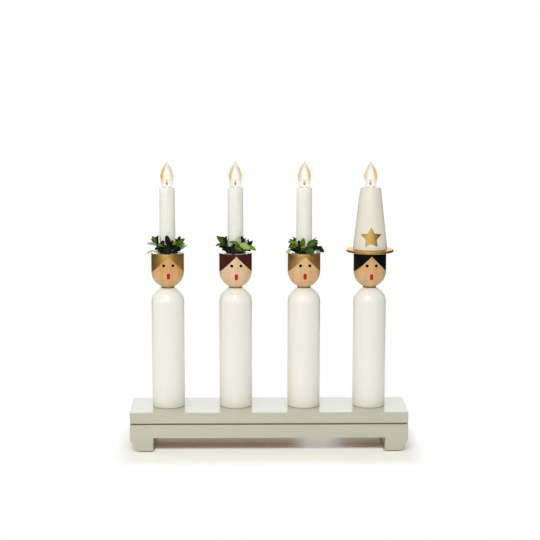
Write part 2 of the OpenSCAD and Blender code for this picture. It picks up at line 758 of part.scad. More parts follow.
// Light source: a plug in the cap, a rod and a small domed diode
module lamp_diode(i) {
    plug_h = 3;
    rod_r = 1;
    rod_h = 8;
    diode_r = 2.1;
    diode_h = 9;
    plug_r = cap_r - cap_t - running_gap;
    color([1, 0.85, 0.5]) at_figure(i, cap_top_z) {
        translate([0, 0, -plug_h]) cylinder(h = plug_h, r = plug_r);
        cylinder(h = rod_h, r = rod_r);
        translate([0, 0, rod_h]) {
            cylinder(h = diode_h - diode_r, r = diode_r);
            translate([0, 0, diode_h - diode_r]) cylinder(h = diode_r, r1 = diode_r, r2 = rod_r);
        }
    }
}

// ---- Wreaths ----

// A repeatable value from -1 to 1
function jitter(k, salt) = sin(360 * (sin(k * 127.1 + salt * 311.7) * 43.7));

// A leaf along +X: pointed at both ends, folded up along its midrib and arched
module leaf(l, w) {
    skin([
        for (t = leaf_station_shares)
            let (
                half = w / 2 * pow(sin(180 * pow(t, 0.85)), 0.6),
                arch = leaf_arch_share * l * 4 * t * (1 - t),
                rib = leaf_t / 2 * (1 - 0.6 * t),
                edge = half * tan(leaf_fold)
            )
            [
                [t * l, -half, arch + edge], [t * l, 0, arch + rib],
                [t * l, half, arch + edge], [t * l, 0, arch - rib]
            ]
    ]);
}

// A leaf on its stalk, which leans out from its seat on the wire ring
module stalked_leaf(row) {
    start_r = wreath_ring_r * (1 + row[1]);
    start_h = wreath_ring_r * row[2];
    rotate([0, 0, row[0]]) hull() {
        translate([wreath_ring_r, 0, 0]) sphere(d = stalk_d, $fn = 6);
        translate([start_r, 0, start_h]) sphere(d = stalk_d * stalk_tip_share, $fn = 6);
    }
    translate([start_r * cos(row[0]), start_r * sin(row[0]), start_h])
        rotate([row[5], -row[4], row[3]]) leaf(leaf_l * row[6], leaf_w * row[7]);
}

// Leaf k round the back of wreath i, as a row like those set by hand
function back_leaf(i, k) =
    let (
        mark = k + 60 * i + 100,
        tier = k % len(back_rise),
        seat = 10 + 160 * (k + 0.5) / back_leaves + 5 * jitter(mark, 1)
    )
    [
        seat, back_out_shares[tier], back_up_shares[tier],
        seat + 38 * jitter(mark, 2), back_rise[tier] + 8 * jitter(mark, 3), 48 * jitter(mark, 6),
        0.95 + 0.12 * jitter(mark, 4), 0.86 + 0.1 * jitter(mark, 5)
    ];

// Wire ring with leaves set by hand round its front and scattered leaves round its back
module wreath(i) {
    color([0.10, 0.26, 0.10]) at_figure(i, wreath_z) {
        rotate_extrude($fn = 36) translate([wreath_ring_r, 0]) circle(r = wreath_wire_r, $fn = 6);
        for (row = front_leaf_shares[i]) stalked_leaf(row);
        for (k = [0 : back_leaves - 1]) stalked_leaf(back_leaf(i, k));
    }
}

// ---- Hat ----

module hat_brim() {
    color([0.72, 0.55, 0.28]) at_figure(hatted, cone_z) difference() {
        union() {
            translate([0, 0, -brim_t]) cylinder(h = brim_t, d = brim_d);
            translate([0, 0, -brim_t - brim_land_h]) cylinder(h = brim_land_h + over, d = brim_land_d);
        }
        translate([0, 0, -brim_t - brim_land_h - over])
            cylinder(h = brim_t + brim_land_h + 2 * over, r = hat_bore_r);
    }
}

// Outer radius of the cone at height h above the brim
function cone_r(h) = cone_foot_d / 2 - (cone_foot_d - cone_top_d) / 2 * h / cone_h;

module hat_cone() {
    color([0.93, 0.92, 0.88]) at_figure(hatted, cone_z) difference() {
        rotate_extrude() polygon([
            [0, 0], [cone_foot_d / 2 - cone_edge, 0], [cone_r(cone_edge), cone_edge],
            [cone_top_d / 2, cone_h], [0, cone_h]
        ]);
        translate([0, 0, -over]) cylinder(h = cone_h + 2 * over, r = hat_bore_r);
    }
}

// A five-pointed star outline, one point up
module star_outline() {
    polygon([
        for (k = [0 : 9]) let (r = k % 2 == 0 ? star_r : star_r * star_inner_share)
            [r * sin(36 * k), r * cos(36 * k)]
    ]);
}

// Foil star that lies round the front of the cone
module hat_star() {
    color([0.72, 0.55, 0.28]) at_figure(hatted, cone_z) intersection() {
        difference() {
            cylinder(h = cone_h, d1 = cone_foot_d + 2 * star_t, d2 = cone_top_d + 2 * star_t);
            cylinder(h = cone_h, d1 = cone_foot_d, d2 = cone_top_d);
        }
        translate([0, 0, star_h]) rotate([90, 0, 0])
            linear_extrude(cone_foot_d) star_outline();
    }
}

// ---- Wires ----

east = [1, 0, 0];
north = [0, 1, 0];
up = [0, 0, 1];
wire_top_z = web_z - wire_end_gap;
bend_steps = 4;

// Down one stem, along the channel and up the next
module link_wire(i) {
    left_x = figure_x(i) + wire_pitch / 2;
    right_x = figure_x(i + 1) - wire_pitch / 2;
    bend_z = wire_z + wire_bend_r;
    swept_wire(concat(
        [[left_x, 0, wire_top_z]],
        arc([left_x + wire_bend_r, 0, bend_z], wire_bend_r, east, up, 180, 270, bend_steps),
        arc([right_x - wire_bend_r, 0, bend_z], wire_bend_r, east, up, 270, 360, bend_steps),
        [[right_x, 0, wire_top_z]]
    ), wire_d / 2, north);
}

module link_wires() {
    color([0.15, 0.15, 0.15]) for (i = wreathed) link_wire(i);
}

// From an outer stem along the channel to its splice, side 1 from the left and -1 from the right
module feed_wire(x, side) {
    toward = side * east;
    run_y = 2 * wire_bend_r;
    splice_x = -side * splice_pitch / 2;
    swept_wire(concat(
        [[x, 0, wire_top_z]],
        arc([x, wire_bend_r, wire_z + wire_bend_r], wire_bend_r, north, up, 180, 270, bend_steps),
        arc([x + side * wire_bend_r, wire_bend_r, wire_z], wire_bend_r, toward, north, 180, 90, bend_steps),
        arc([splice_x - side * wire_bend_r, run_y + wire_bend_r, wire_z], wire_bend_r,
            toward, north, -90, 0, bend_steps),
        [[splice_x, splice_y() + splice_grip, wire_z]]
    ), wire_d / 2, unit([side, 1, 1]));
}

// Where the splice sleeves begin, behind the wires' last bends
function splice_y() = 5 * wire_bend_r;

module feed_wires() {
    color([0.55, 0.12, 0.10]) {
        feed_wire(figure_x(0) - wire_pitch / 2, 1);
        feed_wire(figure_x(hatted) + wire_pitch / 2, -1);
    }
}

// Crimped sleeves that join the feed wires to the cord, open toward the inlet. They fill the
// branch from the wires' last bends to just short of the bush.
module splice_sleeves() {
    splice_l = bench_depth / 2 - back_wall - bush_lip_t - splice_room - splice_y();
    color([0.75, 0.15, 0.12]) for (side = [-1, 1])
        translate([side * splice_pitch / 2, splice_y(), wire_z]) rotate([-90, 0, 0]) difference() {
            cylinder(h = splice_l, r = splice_r);
            translate([0, 0, -over]) cylinder(h = splice_l + 2 * over, d = wire_d + 2 * thread_gap);
        }
}

// ---- Nodes ----

top_board();
bench_rail();
bench_feet();
board_screws();
felt_pads();
cable_bush();
for (i = figures) {
    turned_body(i);
    turned_head(i);
    candle_sleeve(i);
    lampholder(i);
    contact_pin(i);
    contact_spring(i);
    lamp_cap(i);
    lamp_glass(i);
    lamp_diode(i);
}
hair_gold();
hair_brown();
hair_black();
eyes();
mouths();
stem_tubes();
stem_nuts();
base_washers();
thread_shells();
for (i = wreathed)
    wreath(i);
hat_cone();
hat_brim();
hat_star();
link_wires();
feed_wires();
splice_sleeves();
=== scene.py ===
"""Electric advent candlestick: four turned choir figures on a painted bench.

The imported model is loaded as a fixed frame. The turned wood, the candles, the lamps, the
wreaths, the hat and the painted bench are modelled over it piece by piece, and every node
that stays gets a finish of its own. All lengths are in metres.
"""

from __future__ import annotations

import json
import logging
import math
from dataclasses import dataclass
from enum import Enum
from functools import partial
from typing import Callable, Iterable, Sequence

import bmesh
import bpy
from mathutils import Matrix, Vector

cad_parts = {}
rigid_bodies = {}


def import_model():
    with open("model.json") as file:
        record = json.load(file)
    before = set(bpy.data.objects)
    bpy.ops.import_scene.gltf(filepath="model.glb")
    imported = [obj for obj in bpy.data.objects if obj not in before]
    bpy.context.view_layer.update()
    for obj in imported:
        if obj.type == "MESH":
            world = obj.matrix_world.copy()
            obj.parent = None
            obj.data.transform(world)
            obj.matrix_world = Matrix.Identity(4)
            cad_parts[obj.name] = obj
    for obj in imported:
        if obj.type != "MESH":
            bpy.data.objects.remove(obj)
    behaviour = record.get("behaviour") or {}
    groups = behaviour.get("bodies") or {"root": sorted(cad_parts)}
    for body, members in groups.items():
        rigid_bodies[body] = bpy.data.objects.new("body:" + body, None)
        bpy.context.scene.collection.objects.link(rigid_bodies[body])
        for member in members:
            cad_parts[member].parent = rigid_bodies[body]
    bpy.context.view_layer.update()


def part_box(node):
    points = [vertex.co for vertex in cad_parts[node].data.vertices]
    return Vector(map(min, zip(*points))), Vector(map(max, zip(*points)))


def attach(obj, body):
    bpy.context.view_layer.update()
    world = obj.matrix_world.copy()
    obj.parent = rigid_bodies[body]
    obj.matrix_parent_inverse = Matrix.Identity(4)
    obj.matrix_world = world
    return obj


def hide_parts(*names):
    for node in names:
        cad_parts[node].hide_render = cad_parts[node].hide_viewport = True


LOG = logging.getLogger("candlestick")
MM = 0.001
FIGURES = range(4)
ROOT = "bench_and_figures"
Profile = list[tuple[float, float]]
QUARTERS = (0.25, 0.5, 0.75)
TINY = 0.01 * MM  # how far a vertex may lie from the level at which it is looked for
WHITE = (1.0, 1.0, 1.0, 1.0)
USUAL = (0.3, 0.7)  # the range in which a noise's values mostly lie


# ---------------------------------------------------------------- colour and nodes


def linear(hex_code: str) -> tuple[float, float, float, float]:
    """Turns a hexadecimal sRGB colour into linear light.

    Args:
        hex_code: Six hexadecimal digits, such as "EFEDE2".

    Returns:
        Linear red, green and blue, and an alpha of one.
    """
    parts = [int(hex_code[k : k + 2], 16) / 255 for k in (0, 2, 4)]
    light = [c / 12.92 if c <= 0.04045 else ((c + 0.055) / 1.055) ** 2.4 for c in parts]
    return (light[0], light[1], light[2], 1.0)


def per_metre(feature_mm: float) -> float:
    """The texture scale at which one feature is so many millimetres wide."""
    return 1000.0 / feature_mm


def add_node(tree: bpy.types.NodeTree, kind: str, *values: object, **settings: object) -> bpy.types.Node:
    """Adds one node with its settings and links.

    Args:
        tree: The tree that it goes into.
        kind: The node's type name after "ShaderNode".
        values: Its inputs in order: numbers, colours, sockets, or nodes for their first output.
        settings: Its attributes, and under capitalised names its inputs, with _ for a blank.

    Returns:
        The new node.
    """
    node = tree.nodes.new(f"ShaderNode{kind}")
    for key, value in settings.items():
        if key[0].islower():
            setattr(node, key, value)
    pairs = list(zip([socket for socket in node.inputs if socket.enabled], values))
    pairs += [(node.inputs[key.replace("_", " ")], value) for key, value in settings.items() if key[0].isupper()]
    for socket, value in pairs:
        if isinstance(value, bpy.types.Node):
            value = next(output for output in value.outputs if output.enabled)
        if isinstance(value, bpy.types.NodeSocket):
            tree.links.new(value, socket)
        elif value is not None:
            socket.default_value = value
    return node


class Surface:
    """A node material under construction, with its patterns on Object coordinates."""

    def __init__(self, name: str) -> None:
        """Starts an empty material.

        Args:
            name: The material's name.
        """
        self.material = bpy.data.materials.new(name)
        self.material.use_nodes = True
        self.material.node_tree.nodes.clear()
        place = self.add("TexCoord")
        self.at = place.outputs["Object"]
        self.leaf_map = place.outputs["UV"]

    def add(self, kind: str, *values: object, **settings: object) -> bpy.types.Node:
        """Adds one node to the material, in the way of add_node."""
        return add_node(self.material.node_tree, kind, *values, **settings)

    def done(self, shader: bpy.types.Node) -> bpy.types.Material:
        """Joins the last shader to the output and gives the material."""
        self.add("OutputMaterial", shader)
        return self.material


# ---------------------------------------------------------------- finishes


@dataclass(frozen=True)
class BenchPaint:
    """Two coats of satin paint rolled on planed pine: soft clouds, a fine stipple and faint grain.

    The underside is bare wood with a blank paper on it, and a band of painted shade darkens the groove.
    """

    groove_low: float
    groove_high: float
    paper_x: float = 0.0645
    paper_size: tuple[float, float] = (0.057, 0.046)
    tone: str = "C4C2B0"
    shade: str = "C0BEAB"
    bare: str = "CC9762"
    bare_dark: str = "B58450"
    sheet: str = "FBFAF6"
    # colour of the painted shade in the groove
    groove: str = "8C7453"

    def make(self) -> bpy.types.Material:
        """Makes the paint, with bare wood and the blank paper on faces that look down.

        Returns:
            The material.
        """
        s = Surface("bench_paint")
        clouds = s.add("TexNoise", s.at, Scale=per_metre(90), Detail=2)
        fibres = s.add("VectorMath", s.at, (0.06, 1, 1), operation="MULTIPLY")
        grain = s.add("TexNoise", fibres, Scale=per_metre(1.1), Detail=4, Roughness=0.6)
        stipple = s.add("TexNoise", s.at, Scale=per_metre(0.45), Detail=2)
        share = s.add("MapRange", clouds, 0.35, 0.65, 0, 1)
        paint = s.add("Mix", share, linear(self.tone), linear(self.shade), data_type="RGBA")
        wood = s.add("Mix", grain, linear(self.bare), linear(self.bare_dark), data_type="RGBA")
        normal = s.add("SeparateXYZ", s.add("NewGeometry").outputs["Normal"])
        under = s.add("MapRange", normal.outputs[2], -0.9, -0.7, 1, 0)
        place = s.add("SeparateXYZ", s.at)
        from_x = s.add("Math", place.outputs[0], self.paper_x, operation="SUBTRACT")
        from_x = s.add("Math", from_x, operation="ABSOLUTE")
        from_y = s.add("Math", place.outputs[1], operation="ABSOLUTE")
        inside_x = s.add("Math", from_x, self.paper_size[0] / 2, operation="LESS_THAN")
        inside_y = s.add("Math", from_y, self.paper_size[1] / 2, operation="LESS_THAN")
        paper = s.add("Math", inside_x, inside_y, operation="MULTIPLY")
        wood = s.add("Mix", paper, wood, linear(self.sheet), data_type="RGBA")
        # painted shade: a brown band darkens the shadow gap between the top board and the rail
        above = s.add("MapRange", place.outputs[2], self.groove_low - 0.0003, self.groove_low + 0.0001, 0, 1)
        below = s.add("MapRange", place.outputs[2], self.groove_high - 0.0001, self.groove_high + 0.0003, 1, 0)
        groove_painted_shade = s.add("Math", s.add("Math", above, below, operation="MULTIPLY"), 0.7, operation="MULTIPLY")
        paint = s.add("Mix", groove_painted_shade, paint, linear(self.groove), data_type="RGBA")
        rougher = s.add("Math", under, 0.4, operation="MULTIPLY")
        lines = s.add("Bump", Strength=0.5, Distance=0.03 * MM, Height=grain)
        shader = s.add(
            "BsdfPrincipled",
            Base_Color=s.add("Mix", under, paint, wood, data_type="RGBA"),
            Roughness=s.add("Math", s.add("MapRange", stipple, *USUAL, 0.26, 0.32), rougher, operation="ADD"),
            Normal=s.add("Bump", Strength=0.5, Distance=0.006 * MM, Height=stipple, Normal=lines),
            Coat_Weight=0.3,
            Coat_Roughness=0.15,
        )
        return s.done(shader)


@dataclass(frozen=True)
class WhiteLacquer:
    """Off-white satin lacquer sprayed on turned wood while it span, so faint rings go round."""

    name: str = "white_lacquer"
    tone: str = "F1EFE5"
    shade: str = "EFEDE2"

    def make(self) -> bpy.types.Material:
        """Makes the lacquer.

        Returns:
            The material.
        """
        s = Surface(self.name)
        level = s.add("VectorMath", s.at, (0.02, 0.02, 1), operation="MULTIPLY")
        rings = s.add("TexNoise", level, Scale=per_metre(0.9), Detail=3)
        peel = s.add("TexNoise", s.at, Scale=per_metre(0.8), Detail=1)
        clouds = s.add("TexNoise", s.at, Scale=per_metre(45), Detail=2)
        share = s.add("MapRange", clouds, *USUAL, 0, 1)
        turning = s.add("Bump", Strength=0.4, Distance=0.006 * MM, Height=rings)
        shader = s.add(
            "BsdfPrincipled",
            Base_Color=s.add("Mix", share, linear(self.tone), linear(self.shade), data_type="RGBA"),
            Roughness=s.add("MapRange", peel, *USUAL, 0.12, 0.15),
            Normal=s.add("Bump", Strength=0.4, Distance=0.004 * MM, Height=peel, Normal=turning),
        )
        return s.done(shader)


@dataclass(frozen=True)
class ClearMaple:
    """Turned maple under clear satin varnish: fine upright fibres, soft rings and short flecks.

    The heartwood makes the forehead warmer on some heads, and a line of painted shade darkens the wood at the neck.
    """

    name: str
    light: str
    dark: str
    fleck: str
    neck: float
    warmth: float = 0.0
    heartwood: str = "CF8A42"
    # colour of the painted shade at the neck
    neck_painted_shade: str = "5A3A1E"

    def make(self) -> bpy.types.Material:
        """Makes the wood, with a darker line of painted shade where the head meets the body.

        Returns:
            The material.
        """
        s = Surface(self.name)
        slow = s.add("VectorMath", s.at, (1, 1, 0.25), operation="MULTIPLY")
        upright = s.add("VectorMath", s.at, (1, 1, 0.05), operation="MULTIPLY")
        board = s.add("VectorMath", s.at, (1, 0.35, 0.05), operation="MULTIPLY")
        dashes = s.add("VectorMath", s.at, (1, 1, 0.22), operation="MULTIPLY")
        drift = s.add("TexNoise", slow, Scale=per_metre(14), Detail=2)
        fibres = s.add("TexNoise", upright, Scale=per_metre(0.5), Detail=3, Roughness=0.6)
        years = s.add("TexWave", board, Scale=per_metre(34), Distortion=3, Detail=2, Detail_Scale=0.6)
        spots = s.add("TexNoise", dashes, Scale=per_metre(0.8), Detail=1)
        level = s.add("SeparateXYZ", s.at).outputs[2]
        forehead = s.add("MapRange", level, self.neck + 0.014, self.neck + 0.024, 0, 1)
        wood: object = linear(self.light)
        for strength, limit, colour in (
            (s.add("MapRange", years.outputs["Fac"], 0, 1, 0.05, 0.55), 1.0, self.dark),
            (s.add("MapRange", fibres, 0.35, 0.7, 0, 1), 0.5, self.dark),
            (s.add("MapRange", spots, 0.62, 0.72, 0, 1), s.add("MapRange", drift, 0.35, 0.65, 0.15, 0.5), self.fleck),
            (
                s.add("Math", forehead, s.add("MapRange", drift, 0.35, 0.6, 0.55, 1), operation="MULTIPLY"),
                self.warmth,
                self.heartwood,
            ),
            # painted shade: the wood turns dark brown just above the neck and fades out within about two millimetres
            (s.add("MapRange", level, self.neck + 0.0006, self.neck + 0.0019, 0.95, 0), 1.0, self.neck_painted_shade),
        ):
            share = s.add("Math", strength, limit, operation="MULTIPLY")
            wood = s.add("Mix", share, wood, linear(colour), data_type="RGBA")
        shader = s.add(
            "BsdfPrincipled",
            Base_Color=wood,
            Roughness=s.add("MapRange", fibres, *USUAL, 0.38, 0.48),
            Normal=s.add("Bump", Strength=0.35, Distance=0.01 * MM, Height=fibres),
            Coat_Weight=0.35,
            Coat_Roughness=0.2,
        )
        return s.done(shader)


@dataclass(frozen=True)
class GoldPaint:
    """Bronze-powder paint: fine flakes in clear lacquer, brushed on while the part turned.

    The flakes are drawn coarser than the powder's 0.03 mm, so that they glitter in the picture.
    """

    name: str = "gold_paint"
    tone: str = "E0B66A"
    shade: str = "CFA155"
    roughness: float = 0.42

    def make(self) -> bpy.types.Material:
        """Makes the metallic paint.

        Returns:
            The material.
        """
        s = Surface(self.name)
        flakes = s.add("TexVoronoi", s.at, Scale=per_metre(0.16)).outputs["Distance"]
        level = s.add("VectorMath", s.at, (0.02, 0.02, 1), operation="MULTIPLY")
        rings = s.add("TexNoise", level, Scale=per_metre(0.5), Detail=3)
        clouds = s.add("TexNoise", s.at, Scale=per_metre(9), Detail=3)
        share = s.add("MapRange", clouds, *USUAL, 0, 1)
        brushed = s.add("Bump", Strength=1.0, Distance=0.09 * MM, Height=rings)
        shader = s.add(
            "BsdfPrincipled",
            Base_Color=s.add("Mix", share, linear(self.tone), linear(self.shade), data_type="RGBA"),
            Metallic=1.0,
            Roughness=s.add("MapRange", flakes, 0, 0.7, self.roughness - 0.05, self.roughness + 0.07),
            Normal=s.add("Bump", Strength=0.5, Distance=0.012 * MM, Height=flakes, Normal=brushed),
            Coat_Weight=0.2,
            Coat_Roughness=0.15,
        )
        return s.done(shader)


@dataclass(frozen=True)
class GlossPaint:
    """Brushed gloss enamel, slightly uneven where the brush levelled out."""

    name: str
    tone: str
    shade: str
    gloss: float = 0.5
    roughness: float = 0.22

    def make(self) -> bpy.types.Material:
        """Makes the enamel.

        Returns:
            The material.
        """
        s = Surface(self.name)
        strokes = s.add("VectorMath", s.at, (0.12, 0.12, 1), operation="MULTIPLY")
        brush = s.add("TexNoise", strokes, Scale=per_metre(0.9), Detail=3)
        clouds = s.add("TexNoise", s.at, Scale=per_metre(7), Detail=2)
        shader = s.add(
            "BsdfPrincipled",
            Base_Color=s.add("Mix", clouds, linear(self.tone), linear(self.shade), data_type="RGBA"),
            Roughness=s.add("MapRange", clouds, *USUAL, self.roughness, self.roughness + 0.06),
            Specular_IOR_Level=self.gloss,
            Normal=s.add("Bump", Strength=0.5, Distance=0.006 * MM, Height=brush),
        )
        return s.done(shader)


@dataclass(frozen=True)
class CandlePlastic:
    """Moulded ivory plastic that lets a little of the lamp's light through near its top."""

    top: float
    tone: str = "ECECE1"
    shade: str = "E7E7DB"
    glow: str = "FFF0D6"

    def make(self) -> bpy.types.Material:
        """Makes the plastic with its glow, and a band of painted light at its rim.

        Returns:
            The material.
        """
        s = Surface("candle_plastic")
        upright = s.add("VectorMath", s.at, (1, 1, 0.12), operation="MULTIPLY")
        flow = s.add("TexNoise", upright, Scale=per_metre(5), Detail=3)
        grain = s.add("TexNoise", s.at, Scale=per_metre(0.35), Detail=2)
        level = s.add("SeparateXYZ", s.at).outputs[2]
        near_top = s.add("MapRange", level, self.top - 0.011, self.top, 0, 1)
        # painted light: a thin glowing band at the rim lightens the shadow of the lamp glass
        rim = s.add("MapRange", level, self.top - 0.0009, self.top - 0.0002, 0, 0.12)
        through = s.add("Math", s.add("Math", near_top, 1.6, operation="POWER"), 0.045, operation="MULTIPLY")
        share = s.add("MapRange", flow, *USUAL, 0, 1)
        shader = s.add(
            "BsdfPrincipled",
            Base_Color=s.add("Mix", share, linear(self.tone), linear(self.shade), data_type="RGBA"),
            Roughness=s.add("MapRange", grain, *USUAL, 0.34, 0.42),
            Normal=s.add("Bump", Strength=0.5, Distance=0.006 * MM, Height=grain),
            Emission_Color=linear(self.glow),
            Emission_Strength=s.add("Math", through, rim, operation="ADD"),
        )
        return s.done(shader)


@dataclass(frozen=True)
class LampGlass:
    """Blown lamp glass, clear in front, whose colour holds the diode's amber as painted light along its walls."""

    number: int
    axis: float
    foot: float
    glow_side: float
    amber: str = "ECC264"
    rim: str = "F7F4E4"
    clear: str = "FEFEFA"

    def make(self) -> bpy.types.Material:
        """Makes the glass; its painted amber light lies in a band, and deeper on one side of each lamp.

        Returns:
            The material.
        """
        s = Surface(f"lamp_glass_{self.number}")
        place = s.add("SeparateXYZ", s.at)
        level = place.outputs[2]
        ripple = s.add("TexNoise", s.at, Scale=per_metre(3.2), Detail=1)
        streaks = s.add("TexNoise", s.at, Scale=per_metre(5), Detail=3)
        facing = s.add("LayerWeight", Blend=0.5).outputs["Facing"]
        from_axis = s.add("Math", place.outputs[0], self.axis, operation="SUBTRACT")
        aside = s.add("Math", from_axis, self.glow_side, operation="MULTIPLY")
        # painted light: amber tints the glass where it is seen edge-on, in a band above the sleeve
        amber = s.add("MapRange", facing, 0.08, 0.27, 0, 1)
        for part in (
            s.add("MapRange", level, self.foot + 0.003, self.foot + 0.013, 0, 1),
            s.add("MapRange", level, self.foot + 0.020, self.foot + 0.029, 1, 0.3),
            s.add("MapRange", aside, -0.005, 0.005, 0.55, 1),
            s.add("MapRange", streaks, 0.35, 0.6, 0.7, 1),
        ):
            amber = s.add("Math", amber, part, operation="MULTIPLY")
        edge = s.add("MapRange", facing, 0.4, 0.9, 0, 1)
        glass = s.add("Mix", edge, linear(self.clear), linear(self.rim), data_type="RGBA")
        shader = s.add(
            "BsdfPrincipled",
            Base_Color=s.add("Mix", amber, glass, linear(self.amber), data_type="RGBA"),
            Roughness=0.0,
            IOR=1.5,
            Specular_IOR_Level=0.22,
            Transmission_Weight=1.0,
            Normal=s.add("Bump", Strength=0.25, Distance=0.01 * MM, Height=ripple),
        )
        return s.done(shader)


@dataclass(frozen=True)
class LitDiode:
    """A glowing surface: the lit warm-white diode, amber round its frame and nearly white in its lens.

    It also paints light on the diode's stalk and on the candle's inner lip, which give none.
    """

    name: str
    low: float
    high: float
    foot: str
    head: str
    strength: float

    def make(self) -> bpy.types.Material:
        """Makes the light, which changes in colour from its foot to its head.

        Returns:
            The material.
        """
        s = Surface(self.name)
        level = s.add("SeparateXYZ", s.at).outputs[2]
        rise = s.add("MapRange", level, self.low, self.high, 0, 1)
        grain = s.add("TexNoise", s.at, Scale=per_metre(0.6), Detail=2)
        tone = s.add("Mix", rise, linear(self.foot), linear(self.head), data_type="RGBA")
        uneven = s.add("MapRange", grain, *USUAL, 0.85, 1.1)
        shader = s.add(
            "BsdfPrincipled",
            Base_Color=tone,
            Roughness=0.3,
            Emission_Color=tone,
            Emission_Strength=s.add("Math", uneven, self.strength, operation="MULTIPLY"),
        )
        return s.done(shader)


@dataclass(frozen=True)
class Metal:
    """Plain or plated metal with the fine marks of rolling and handling."""

    name: str
    tone: str
    roughness: float = 0.3
    lay: tuple[float, float, float] = (1.0, 1.0, 1.0)

    def make(self) -> bpy.types.Material:
        """Makes the metal.

        Returns:
            The material.
        """
        s = Surface(self.name)
        drawn = s.add("VectorMath", s.at, self.lay, operation="MULTIPLY")
        marks = s.add("TexNoise", drawn, Scale=per_metre(0.5), Detail=4, Roughness=0.6)
        stain = s.add("TexNoise", s.at, Scale=per_metre(4), Detail=3)
        tone = linear(self.tone)
        dull = tuple(0.82 * c for c in tone[:3]) + (1.0,)
        shader = s.add(
            "BsdfPrincipled",
            Base_Color=s.add("Mix", s.add("MapRange", stain, 0.4, 0.75, 0, 0.6), tone, dull, data_type="RGBA"),
            Metallic=1.0,
            Roughness=s.add("MapRange", marks, *USUAL, self.roughness - 0.06, self.roughness + 0.1),
            Normal=s.add("Bump", Strength=0.5, Distance=0.01 * MM, Height=marks),
        )
        return s.done(shader)


@dataclass(frozen=True)
class Moulded:
    """Matt moulded plastic, rubber or felt, told apart by grain, tone and roughness."""

    name: str
    tone: str
    shade: str
    roughness: float
    grain_mm: float
    depth_mm: float

    def make(self) -> bpy.types.Material:
        """Makes the matt surface.

        Returns:
            The material.
        """
        s = Surface(self.name)
        grain = s.add("TexNoise", s.at, Scale=per_metre(self.grain_mm), Detail=4, Roughness=0.65)
        share = s.add("MapRange", grain, *USUAL, 0, 1)
        shader = s.add(
            "BsdfPrincipled",
            Base_Color=s.add("Mix", share, linear(self.tone), linear(self.shade), data_type="RGBA"),
            Roughness=s.add("MapRange", grain, *USUAL, self.roughness - 0.05, self.roughness + 0.05),
            Normal=s.add("Bump", Strength=0.6, Distance=self.depth_mm * MM, Height=grain),
        )
        return s.done(shader)


@dataclass(frozen=True)
class GoldFoil:
    """Thin foil pressed on by hand, so it has shallow dents and a finer crinkle."""

    tone: str = "DDB96D"
    shade: str = "C8A054"

    def make(self) -> bpy.types.Material:
        """Makes the foil.

        Returns:
            The material.
        """
        s = Surface("gold_foil")
        dents = s.add("TexNoise", s.at, Scale=per_metre(3.4), Detail=2)
        crinkle = s.add("TexNoise", s.at, Scale=per_metre(0.5), Detail=3, Roughness=0.6)
        pressed = s.add("Bump", Strength=0.5, Distance=0.1 * MM, Height=dents)
        shader = s.add(
            "BsdfPrincipled",
            Base_Color=s.add("Mix", crinkle, linear(self.tone), linear(self.shade), data_type="RGBA"),
            Metallic=1.0,
            Roughness=s.add("MapRange", crinkle, *USUAL, 0.4, 0.5),
            Normal=s.add("Bump", Strength=0.5, Distance=0.01 * MM, Height=crinkle, Normal=pressed),
        )
        return s.done(shader)


class LeafTone(Enum):
    """The tones of the wreath's leaves: blade dark, blade light, midrib, and roughness."""

    DEEP = ("0B1106", "1A240E", "2C3A18", 0.48)
    MID = ("2A3E0F", "47611E", "6C8A3C", 0.46)
    FRESH = ("40591A", "5F7C26", "88A448", 0.46)
    YOUNG = ("5A781C", "7F9D34", "A6BD5E", 0.46)
    SOFT = ("7E9A4C", "9AB366", "BCCE94", 0.47)
    PALE = ("9CB06C", "B9C78E", "D2DAB4", 0.48)
    WAXY = ("7D937F", "9DB19C", "BDCAB8", 0.48)


@dataclass(frozen=True)
class Leaf:
    """Waxy evergreen leaf: a pale midrib, faint side veins and a mottled blade, along its UV map."""

    tone: LeafTone
    veins_per_side: float = 9.0
    slant: float = -0.9

    def make(self) -> bpy.types.Material:
        """Makes the leaf.

        Returns:
            The material.
        """
        dark, light, rib, roughness = self.tone.value
        s = Surface(f"leaf_{self.tone.name.lower()}")
        plan = s.add("SeparateXYZ", s.leaf_map)
        off = s.add("Math", s.add("Math", plan.outputs[1], 0.5, operation="SUBTRACT"), operation="ABSOLUTE")
        back = s.add("Math", off, self.slant, operation="MULTIPLY")
        along = s.add("Math", plan.outputs[0], back, operation="ADD")
        cycle = s.add("Math", s.add("Math", along, self.veins_per_side, operation="MULTIPLY"), operation="FRACT")
        vein = s.add("Math", s.add("Math", cycle, 0.5, operation="SUBTRACT"), operation="ABSOLUTE")
        midrib = s.add("MapRange", off, 0.02, 0.06, 1, 0)
        veins = s.add("MapRange", vein, 0.0, 0.12, 1, 0)
        mottle = s.add("TexNoise", s.at, Scale=per_metre(2.2), Detail=3)
        share = s.add("MapRange", mottle, *USUAL, 0, 1)
        blade = s.add("Mix", share, linear(dark), linear(light), data_type="RGBA")
        height: object = 0.0
        for pattern, paler, sunk in ((veins, 0.16, -0.3), (midrib, 0.8, -0.7)):
            share = s.add("Math", pattern, paler, operation="MULTIPLY")
            blade = s.add("Mix", share, blade, linear(rib), data_type="RGBA")
            height = s.add("Math", pattern, sunk, height, operation="MULTIPLY_ADD")
        shader = s.add(
            "BsdfPrincipled",
            Base_Color=blade,
            Roughness=s.add("MapRange", mottle, *USUAL, roughness, roughness + 0.1),
            Specular_IOR_Level=0.1,
            Normal=s.add("Bump", Strength=0.6, Distance=0.12 * MM, Height=height),
        )
        return s.done(shader)


# ---------------------------------------------------------------- the modeller's bench


def pick_nothing() -> None:
    """Leaves edit mode and deselects every object."""
    if bpy.context.object is not None and bpy.context.object.mode != "OBJECT":
        bpy.ops.object.mode_set(mode="OBJECT")
    bpy.ops.object.select_all(action="DESELECT")


